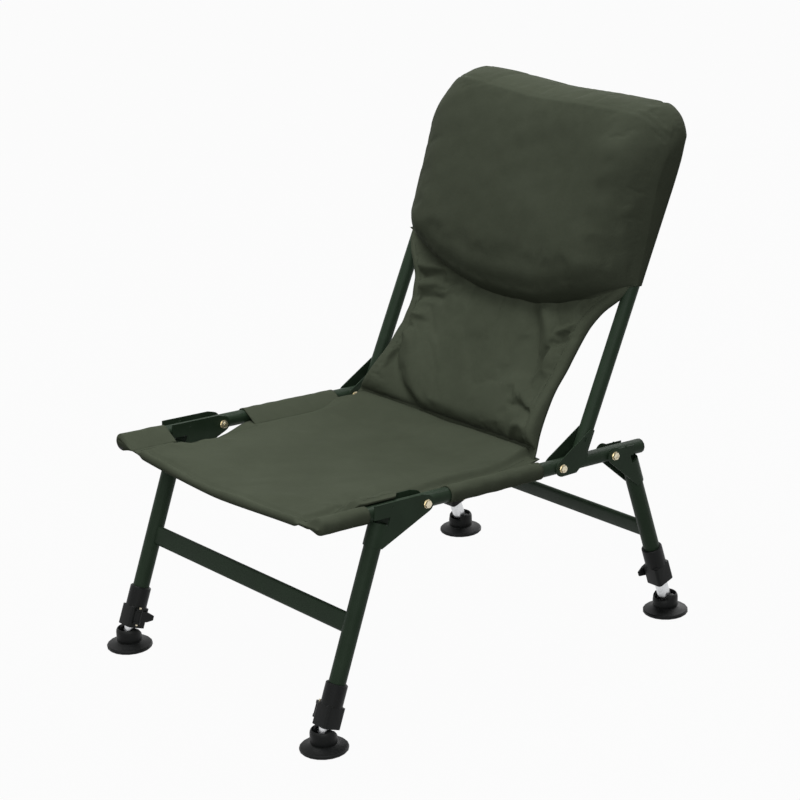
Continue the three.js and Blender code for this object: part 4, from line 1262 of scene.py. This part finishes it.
@dataclass
class BackCover:
    """Waisted back panel that runs from the seat's crease up under the pillow.

    All sizes are in millimetres of the back tube's frame. Four lines run over the height up
    the tube: half_width, edge_forward (how far the sides stand in front of the tube), slack
    (how much further the right-hand edge is drawn in) and dish (how far the middle lies
    behind the sides).
    """

    finishes: Finishes
    stitches: StitchTree
    low: float = -10.0
    high: float = 288.0
    thick: float = 10.0
    hem: float = 3.4
    strip: float = 17.0
    strip_ease: float = 9.0
    groove: float = 1.2
    groove_width: float = 3.0
    turn_start: float = 16.0
    turn_reach: float = 24.0
    belly: float = 12.0
    belly_rise: Ramp = Ramp(120, -80)
    deepest: float = -12.0
    fold_gain: float = 1.15
    fold_at_seam: float = 0.15
    back_share: float = 0.35
    swell: Ripple = Ripple(0.8, 17, 90.0)
    crimp: Ripple = Ripple(0.4, 19, 34.0)
    slack_spread: float = 1.4
    slack_forward: float = 0.5
    dish_power: float = 2.2
    pitch: float = 3.4
    stitch_lift: float = 0.3
    stitch_out: float = 1.0
    stitch_row: tuple[float, float] = (0.31, 0.9)
    row_steps: int = 120
    shell: Shell = Shell(columns=170, rows=130)
    seams: Seams = Seams(Ramp(0.88, 0.05), Ramp(0.07, -0.04), Ramp(0.86, 0.05))
    settling: Settling = Settling(slack=0.03, pressure=2.0)
    half_width: Line = Line((
        (-12, 212), (0, 212), (38, 204.5), (70, 200), (102, 197), (147, 196.5), (185, 199),
        (206, 203), (232, 215), (260, 236), (290, 252),
    ))
    edge_forward: Line = Line((
        (-12, 50), (0, 55), (38, 52), (102, 41), (147, 28), (206, 19), (240, 16), (262, 11),
        (290, 2),
    ))
    slack: Line = Line((
        (0, 5), (40, 11), (102, 14), (160, 13), (206, 8), (250, 2), (300, 0),
    ))
    dish: Line = Line((
        (-12, 52), (0, 48), (38, 42), (102, 27), (147, 15), (206, 9), (260, 4), (290, -3),
    ))
    folds: tuple[Fold, ...] = (
        Fold((-188, 232), (-96, 248), 8.0, 6.5, 6),
        Fold((-194, 214), (-88, 222), 8.0, -6.5, 3),
        Fold((-190, 192), (-62, 228), 10.0, 5.5, -6),
        Fold((-190, 175), (-112, 190), 6.5, -6.0, -3),
        Fold((-188, 152), (-134, 158), 7.5, 5.5, 2),
        Fold((-186, 136), (-150, 132), 5.0, -4.0, 2),
        Fold((-186, 116), (-120, 108), 13, 4.0, -6),
        Fold((-172, 108), (-104, 14), 14.0, -8.5, 10),
        Fold((-140, 118), (-66, 22), 13, 4.5, 10),
        Fold((112, 216), (164, 126), 14.0, 7.5, -9),
        Fold((80, 214), (132, 104), 16.0, -6.5, -9),
        Fold((180, 200), (142, 132), 8, -5.0, 7),
        Fold((196, 210), (158, 190), 6.0, 5.5, 2),
        Fold((200, 190), (160, 170), 5.5, -5.5, 2),
        Fold((84, 100), (166, 66), 14, 5.0, -9),
        Fold((182, 56), (116, 66), 8.0, -5.5, 4),
        Fold((186, 38), (136, 34), 9, 4.5, 3),
        Fold((-60, 34), (90, 28), 18, 3.0, 6),
        Fold((-20, 150), (60, 60), 30, 2.5, 10),
    )

    def surface(self, side: int, u: Array, v: Array) -> Array:
        """One face of the panel.

        Args:
            side: 1 for the front, -1 for the back.
            u: places across, -1 to 1.
            v: places up, 0 to 1.

        Returns:
            Points in the back tube's frame.
        """
        rise = self.low + v * (self.high - self.low)
        slack = self.slack(rise) * smooth(-u * self.slack_spread)
        half = self.half_width(rise) - slack
        x = u * half
        dish = self.dish(rise) * (1 - np.abs(u) ** self.dish_power)
        forward = self.edge_forward(rise) - dish - self.slack_forward * slack
        from_edge = half - np.abs(x)
        inside = smooth((from_edge - self.strip) / self.strip_ease)
        roll = dome(from_edge / self.strip)
        groove = self.groove * bell(from_edge - self.strip, self.groove_width)
        lift = (self.swell(x, rise) + self.crimp(x, rise)) * inside
        share = self.fold_at_seam + (1 - self.fold_at_seam) * inside
        for fold in self.folds:
            lift = lift + self.fold_gain * fold.lift(x, rise) * share
        low = dome((rise - self.turn_start) / self.turn_reach)
        if side > 0:
            thick = self.thick + self.belly * self.belly_rise(rise)
            stand = self.hem / 2 + thick * roll * low + lift * low - groove
        else:
            stand = self.hem / 2 - self.back_share * (lift + self.thick * roll)
        forward = forward + side * np.maximum(stand, self.deepest)
        return np.stack([x, -forward, rise + 0 * x], axis=-1)

    def build(self) -> list[Piece]:
        """Makes the panel and its stitches.

        Returns:
            The pieces.
        """
        place = SIZES.back()
        cover = self.shell.piece(
            "back_cover", place, self.surface, even, self.seams, self.settling
        )
        cover.data.materials.append(self.finishes.by_slot[Slot.CLOTH])
        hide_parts("back_panel")
        tuple(place.point(0, -30, 0))
        tuple(place.point(0, -30, 50))
        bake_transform(cover)
        return [cover, self.sew(place)]

    def sew(self, place: Place) -> Piece:
        """Sews the seams of the side strips, from clear of the seat up.

        Args:
            place: the back tube's frame.

        Returns:
            The stitches.
        """
        v = np.linspace(*self.stitch_row, self.row_steps)
        rise = self.low + v * (self.high - self.low)
        u = 1 - (self.strip + self.stitch_out) / self.half_width(rise)
        lines = []
        for sign in (1, -1):
            points = self.surface(1, sign * u, v)
            points[:, 1] -= self.stitch_lift
            lines.append(place.world(points))
        rows = self.stitches.sew("back_stitches", lines, self.pitch, seed=6)
        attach(rows, Body.BACKREST.value)
        return rows


@dataclass
class HeadPillow:
    """Deep pillow pulled over the top of the back tube like a sock.

    All sizes are in millimetres of the back tube's frame. half_width, side_forward and
    crown are lines over the height up the tube; hem_rise, lowest left of the middle, and
    crest are lines over the place across. The front is a roll behind a narrow band along
    the top seam, which puckers at five places, and it turns under at the hem.
    """

    finishes: Finishes
    half: float = 254.0
    top: float = 562.0
    hem: float = 213.0
    corner: float = 58.0
    band: float = 38.0
    band_share: float = 0.94
    band_round: float = 0.4
    roll_share: float = 0.06
    roll_reach: float = 46.0
    tuck: float = 62.0
    tuck_reach: float = 46.0
    right_reach: float = 105.0
    left_reach: float = 62.0
    reach_turn: float = 2.0
    swell_power: float = 2.2
    corner_share: float = 0.6
    corner_reach: float = 135.0
    edge_share: float = 0.02
    wrap: float = 13.0
    wrap_gap: float = 0.6
    wrap_reach: float = 20.0
    flap_rise: Ramp = Ramp(283, 7)
    flap_front: float = 13.0
    notch: float = 2.6
    notch_power: int = 12
    pucker_depth: float = 4.0
    pucker_width: float = 5.0
    pucker_reach: float = 34.0
    pucker_lean: float = 0.5
    puckers: tuple[float, ...] = (-196.0, -104.0, -10.0, 128.0, 198.0)
    seam: float = 2.4
    seam_width: float = 3.0
    seam_fade: float = 30.0
    gather: float = 5.0
    gather_place: float = 0.4
    gather_width: float = 16.0
    gather_fade: float = 25.0
    gather_stretch: float = 0.25
    gather_least: float = 0.3
    gathers: Ripple = Ripple(1.0, 47, 46.0)
    swell: Ripple = Ripple(1.6, 41, 170.0)
    crimp: Ripple = Ripple(0.6, 43, 60.0)
    rear_swell: Ripple = Ripple(1.2, 31, 120.0)
    rear_power: int = 8
    rear_fade: float = 9.0
    shell: Shell = Shell(columns=170, rows=130)
    seams: Seams = Seams(Ramp(0.97, 0.02), Ramp(0.06, -0.04), Ramp(0.98, 0.015))
    held_band: float = 6.0
    settling: Settling = Settling(slack=0.008, pressure=2.5)
    half_width: Line = Line(((214, 254), (440, 253.6), (480, 252.5), (510, 249), (570, 243)))
    side_forward: Line = Line(((285, 4), (330, 10), (414, 24), (480, 35), (560, 38)))
    crown: Line = Line(((208, 62), (250, 73), (330, 80), (414, 84), (480, 86), (560, 87)))
    crest: Line = Line(((-1, 6), (-0.6, 5.5), (-0.3, 2), (0.08, -2), (0.5, 0), (1, 0)))
    hem_rise: Line = Line((
        (-1, 285), (-0.85, 275), (-0.7, 260), (-0.35, 228), (0, 216), (0.35, 219), (0.7, 243),
        (0.85, 262), (1, 287),
    ))

    def rise(self, u: Array, v: Array) -> Array:
        """Height along the tube of a place on the pillow.

        Args:
            u: places across, -1 to 1.
            v: places up, 0 to 1.

        Returns:
            The heights, with round upper corners and a notch at each pucker.
        """
        share = self.corner / self.half
        inside = np.clip((np.abs(u) - 1 + share) / share, 0, 1)
        drop = self.corner * (1 - np.sqrt(np.maximum(0, 1 - inside**2)))
        top = self.top + self.crest(u) - drop
        low = self.hem_rise(u)
        x = u * self.half
        notches = sum(self.notch * bell(x - at, self.pucker_width) for at in self.puckers)
        return low + v * (top - low) - notches * v**self.notch_power

    def rear(self, u: Array, v: Array) -> Array:
        """The rear face, round the tube at its edges and in front of it below the flap.

        Args:
            u: places across, -1 to 1.
            v: places up, 0 to 1.

        Returns:
            Points in the back tube's frame.
        """
        rise = self.rise(u, v)
        half = self.half_width(rise)
        x = u * half
        top = self.rise(u, np.ones_like(v))
        out = np.clip((np.abs(x) - half + self.wrap) / self.wrap, 0, 1)
        over = np.clip((rise - top + self.wrap_reach) / self.wrap_reach, 0, 1)
        behind = self.wrap * np.sqrt(1 - np.maximum(out, over) ** 2) + self.wrap_gap
        behind = -self.flap_front + (behind + self.flap_front) * self.flap_rise(rise)
        dent = self.rear_swell(x, rise) * (1 - u**self.rear_power)
        dent = dent * smooth((1 - v) * self.rear_fade)
        return np.stack([x, behind + dent, rise], axis=-1)

    def surface(self, side: int, u: Array, v: Array) -> Array:
        """One face of the pillow.

        Args:
            side: 1 for the front, -1 for the back.
            u: places across, -1 to 1.
            v: places up, 0 to 1.

        Returns:
            Points in the back tube's frame.
        """
        if side < 0:
            return self.rear(u, v)
        rise = self.rise(u, v)
        half = self.half_width(rise)
        x = u * half
        from_side = half - np.abs(x)
        from_top = (1 - v) * (self.top - self.hem)
        from_hem = v * (self.top - self.hem)
        edge = self.side_forward(rise)
        wider = self.right_reach - self.left_reach
        reach = self.right_reach - wider * smooth(u * self.reach_turn)
        swell = 1 - (1 - np.clip(from_side / reach, 0, 1)) ** self.swell_power
        full = edge + (self.crown(rise) - edge) * swell
        corner = smooth(np.hypot(from_side, from_top) / self.corner_reach)
        full = full * (self.corner_share + (1 - self.corner_share) * corner)
        band = np.clip(from_top / self.band, 0, 1)
        over = self.band_share * ((1 - self.band_round) * band + self.band_round * dome(band))
        over = over + self.roll_share * dome((from_top - self.band) / self.roll_reach)
        depth = full * (self.edge_share + (1 - self.edge_share) * over)
        depth = depth - self.tuck * swell * (1 - dome(from_hem / self.tuck_reach))
        seam = self.seam * bell(from_top - self.band, self.seam_width)
        seam = seam * smooth(from_side / self.seam_fade)
        near_seam = bell(from_top - self.gather_place * self.band, self.gather_width)
        near_seam = near_seam * smooth(from_side / self.gather_fade)
        gather = np.maximum(self.gathers(x, rise * self.gather_stretch) - self.gather_least, 0)
        gather = gather * self.gather * near_seam
        lean = x - self.pucker_lean * from_top
        near_top = smooth(1 - from_top / self.pucker_reach)
        for at in self.puckers:
            pucker = self.pucker_depth * bell(lean - at, self.pucker_width)
            gather = gather + pucker * near_top * band
        uneven = (self.swell(x, rise) + self.crimp(x, rise)) * swell
        return np.stack([x, -(depth - seam - gather + uneven * over), rise], axis=-1)

    def held(self, u: Array, v: Array) -> Array:
        """How firmly the front is sewn at its ends and along the band: 0 is free."""
        from_band = (1 - v) * (self.top - self.hem) - self.band
        return np.maximum(self.seams(u, v), bell(from_band, self.held_band))

    def build(self) -> list[Piece]:
        """Makes the pillow.

        Returns:
            The one piece.
        """
        pillow = self.shell.piece(
            "pillow_cover", SIZES.back(), self.surface, crowded, self.held, self.settling
        )
        pillow.data.materials.append(self.finishes.by_slot[Slot.PILLOW])
        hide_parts("head_pillow")
        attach(pillow, Body.BACKREST.value)
        return [pillow]


@dataclass
class HardParts:
    """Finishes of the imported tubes, brackets, mouldings and fasteners."""

    finishes: Finishes

    def build(self) -> list[Piece]:
        """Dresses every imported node; the pins of the feet are blacked.

        Returns:
            The nodes.
        """
        smooth_tree = SmoothTree()
        looks = self.finishes.by_slot
        slots = {s["node"]: Slot(s["material_slot"]) for s in frame["record"]["subparts"]}
        for name, node in frame["nodes"].items():
            material = self.finishes.blacked if "foot_pin" in name else looks[slots[name]]
            for slot in node.material_slots:
                slot.material = material
            if slots[name] not in (Slot.CLOTH, Slot.PILLOW):
                smooth_tree.dress(node)
        return list(frame["nodes"].values())


@dataclass
class FootCollars:
    """Rubber sleeves that close each foot's boot in front of and behind its tube.

    All sizes are in millimetres. The rim's height over the pin is given along the chair,
    low where the tube leans over it. The lip is the rim's outline: inset and drop.
    """

    finishes: Finishes
    radius: float = 19.5
    wall: float = 1.3
    bevel: float = 0.3
    foot: float = 12.0
    chamfer: float = 1.0
    lowest: float = 13.5
    front_rise: Pairs = ((-19.5, 11.5), (6.9, 11.5), (19.5, 0.3))
    rear_rise: Pairs = ((-19.5, 4.6), (-14.0, 4.6), (-4.0, 11.5), (19.5, 11.5))
    lip: Pairs = (
        (0.0, -6.0), (0.4, -3.4), (1.3, -1.4), (2.2, -0.3), (2.7, 0.0), (3.2, -0.3), (3.1, -5.5),
    )
    sides: int = 48

    def profile(self, top: float) -> list[tuple[float, float]]:
        """The wall's outline at one place round the boot.

        Args:
            top: height of the rim there.

        Returns:
            Radius and height of each corner.
        """
        outer = self.radius
        rim = [(outer - inset, max(top + drop, self.lowest)) for inset, drop in self.lip]
        base = [(outer - self.wall, self.foot), (outer - self.bevel, self.foot)]
        return [*base, (outer, self.foot + self.chamfer), *rim]

    def collar(self, end: str, side: str) -> Piece:
        """One sleeve round a foot's boot.

        Args:
            end: front or rear.
            side: left or right.

        Returns:
            The piece.
        """
        centre = pivot(f"{end}_foot_tilt_{side}")
        ys, rises = zip(*(self.front_rise if end == "front" else self.rear_rise))
        angles = np.arange(self.sides) * 2 * math.pi / self.sides
        tops = centre.z / MM + np.interp(self.radius * np.sin(angles), ys, rises)
        rings = [self.profile(float(top)) for top in tops]
        points = [
            (centre.x + r * MM * math.cos(a), centre.y + r * MM * math.sin(a), z * MM)
            for a, ring in zip(angles, rings)
            for r, z in ring
        ]
        count = len(rings[0])
        faces = []
        for k in range(self.sides):
            here, there = k * count, (k + 1) % self.sides * count
            for c in range(count):
                after = (c + 1) % count
                faces.append((here + c, there + c, there + after, here + after))
        obj = mesh_piece(f"{end}_foot_collar_{side}", np.array(points), faces)
        obj.data.materials.append(self.finishes.by_slot[Slot.PLASTIC])
        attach(obj, f"{end}_foot_{side}")
        return obj

    def build(self) -> list[Piece]:
        """Makes the four collars."""
        return [self.collar(end, side) for end in ("front", "rear") for side in ("left", "right")]


@dataclass(frozen=True)
class Lamp:
    """A square soft box that points at the chair: place and edge in metres, power in watts."""

    name: str
    place: tuple[float, float, float]
    size: float
    power: float
    aim: tuple[float, float, float] = (0, 0, 0.4)

    def hang(self) -> None:
        """Hangs the lamp."""
        data = bpy.data.lights.new(self.name, "AREA")
        data.size = self.size
        data.energy = self.power
        lamp = linked(self.name, data)
        look = Vector(self.aim) - Vector(self.place)
        lamp.location = self.place
        lamp.rotation_euler = look.to_track_quat("-Z", "Y").to_euler()


@dataclass
class Studio:
    """Camera, lamps, floor and backdrop.

    The camera's angles are in degrees, its distance and target in millimetres from the
    floor point below the backrest pivots, and its focal length in the photograph's pixels.
    """

    azimuth: float = 50.7905
    elevation: float = 18.6257
    roll: float = -2.2043
    distance: float = 3945.52
    target: tuple[float, float, float] = (-218.81, 85.02, 272.99)
    pivot_height: float = 0.2995
    focal: float = 2429.477
    photo_width: float = 800
    sensor: float = 36.0
    furthest: float = 50
    fill: float = 0.09
    floor_tone: float = 0.14
    floor_white: float = 0.965
    floor_reach: float = 30.0
    floor_gap: float = 0.0008
    lamps: tuple[Lamp, ...] = (
        Lamp("top", (-0.5, -0.35, 2.7), 1.1, 37.0),
        Lamp("side", (2.5, -1.9, 2.0), 2.0, 46.0),
        Lamp("back", (-0.1, 1.3, 2.2), 1.2, 23.0),
        Lamp("front", (0.3, -3.2, 2.2), 1.5, 15.5),
        Lamp("rear", (-0.8, 3.6, 1.3), 2.2, 36.0),
    )

    def camera(self) -> None:
        """Places the camera where the photograph was taken from."""
        a, e, r = (math.radians(v) for v in (self.azimuth, self.elevation, self.roll))
        back = Vector((math.sin(a) * math.cos(e), -math.cos(a) * math.cos(e), math.sin(e)))
        right = Vector((math.cos(a), math.sin(a), 0))
        up = back.cross(right)
        turned = right * math.cos(r) + up * math.sin(r)
        raised = up * math.cos(r) - right * math.sin(r)
        origin = pivot("backrest_fold") - Vector((0, 0, self.pivot_height))
        place = origin + Vector(self.target) * MM + back * self.distance * MM
        data = bpy.data.cameras.new("photo_camera")
        data.sensor_width = self.sensor
        data.lens = self.focal / self.photo_width * data.sensor_width
        data.clip_end = self.furthest
        camera = linked("photo_camera", data)
        turn = Matrix((turned, raised, back)).transposed()
        camera.matrix_world = Matrix.Translation(place) @ turn.to_4x4()
        bpy.context.scene.camera = camera

    def seen_white(self, g: Graph, lit: Sock, share: float = 1.0) -> Sock:
        """Shows white to the camera, glass and gloss, and lights the rest as given.

        Args:
            g: the graph it is added to.
            lit: the shader for all other rays.
            share: how much of the white the camera sees.

        Returns:
            The mixed shader.
        """
        camera = g.node("ShaderNodeLightPath", output="Is Camera Ray")
        gloss, glass = camera.output("Is Glossy Ray"), camera.output("Is Transmission Ray")
        white = g.node("ShaderNodeEmission", {"Color": WHITE, "Strength": 1.0})
        seen = (camera * share).highest(gloss).highest(glass)
        return g.node("ShaderNodeMixShader", {0: seen, 1: lit, 2: white})

    def floor(self) -> None:
        """Lays a pale floor that keeps the chair's soft shadow."""
        g = Graph(bpy.data.materials.new("studio_floor"))
        pale = g.node("ShaderNodeBsdfDiffuse", {"Color": (self.floor_tone,) * 3})
        g.finish(self.seen_white(g, pale, self.floor_white))
        r, low = self.floor_reach, -self.floor_gap
        corners = np.array([(-r, -r, low), (r, -r, low), (r, r, low), (-r, r, low)])
        obj = mesh_piece("studio_floor", corners, [(0, 1, 2, 3)])
        obj.data.materials.append(g.owner)

    def world(self) -> None:
        """Fills the room with even light and a white backdrop."""
        room = bpy.data.worlds.new("studio_world")
        bpy.context.scene.world = room
        g = Graph(room)
        fill = g.node("ShaderNodeBackground", {"Color": WHITE, "Strength": self.fill})
        g.finish(self.seen_white(g, fill))

    def build(self) -> None:
        """Sets up the whole studio."""
        bpy.context.scene.view_settings.view_transform = "Standard"
        self.camera()
        self.floor()
        self.world()
        for lamp in self.lamps:
            lamp.hang()


def clear_startup() -> None:
    """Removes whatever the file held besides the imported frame."""
    kept = set(frame["nodes"].values()) | set(frame["bodies"].values())
    for obj in list(bpy.data.objects):
        if obj not in kept:
            bpy.data.objects.remove(obj)


def main() -> None:
    """Builds the studio and every dressed piece in order, and reports each piece."""
    logging.basicConfig(level=logging.INFO, format="%(message)s")
    clear_startup()
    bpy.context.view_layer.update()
    Studio().build()
    finishes = Finishes()
    stitches = StitchTree(finishes.thread)
    assemblies = [
        HardParts(finishes),
        SeatCover(finishes, stitches),
        BackCover(finishes, stitches),
        HeadPillow(finishes),
        FootCollars(finishes),
    ]
    for assembly in assemblies:
        for piece in assembly.build():
            log.info("%s: %s", type(assembly).__name__, piece.name)


if __name__ == "__main__":
    main()
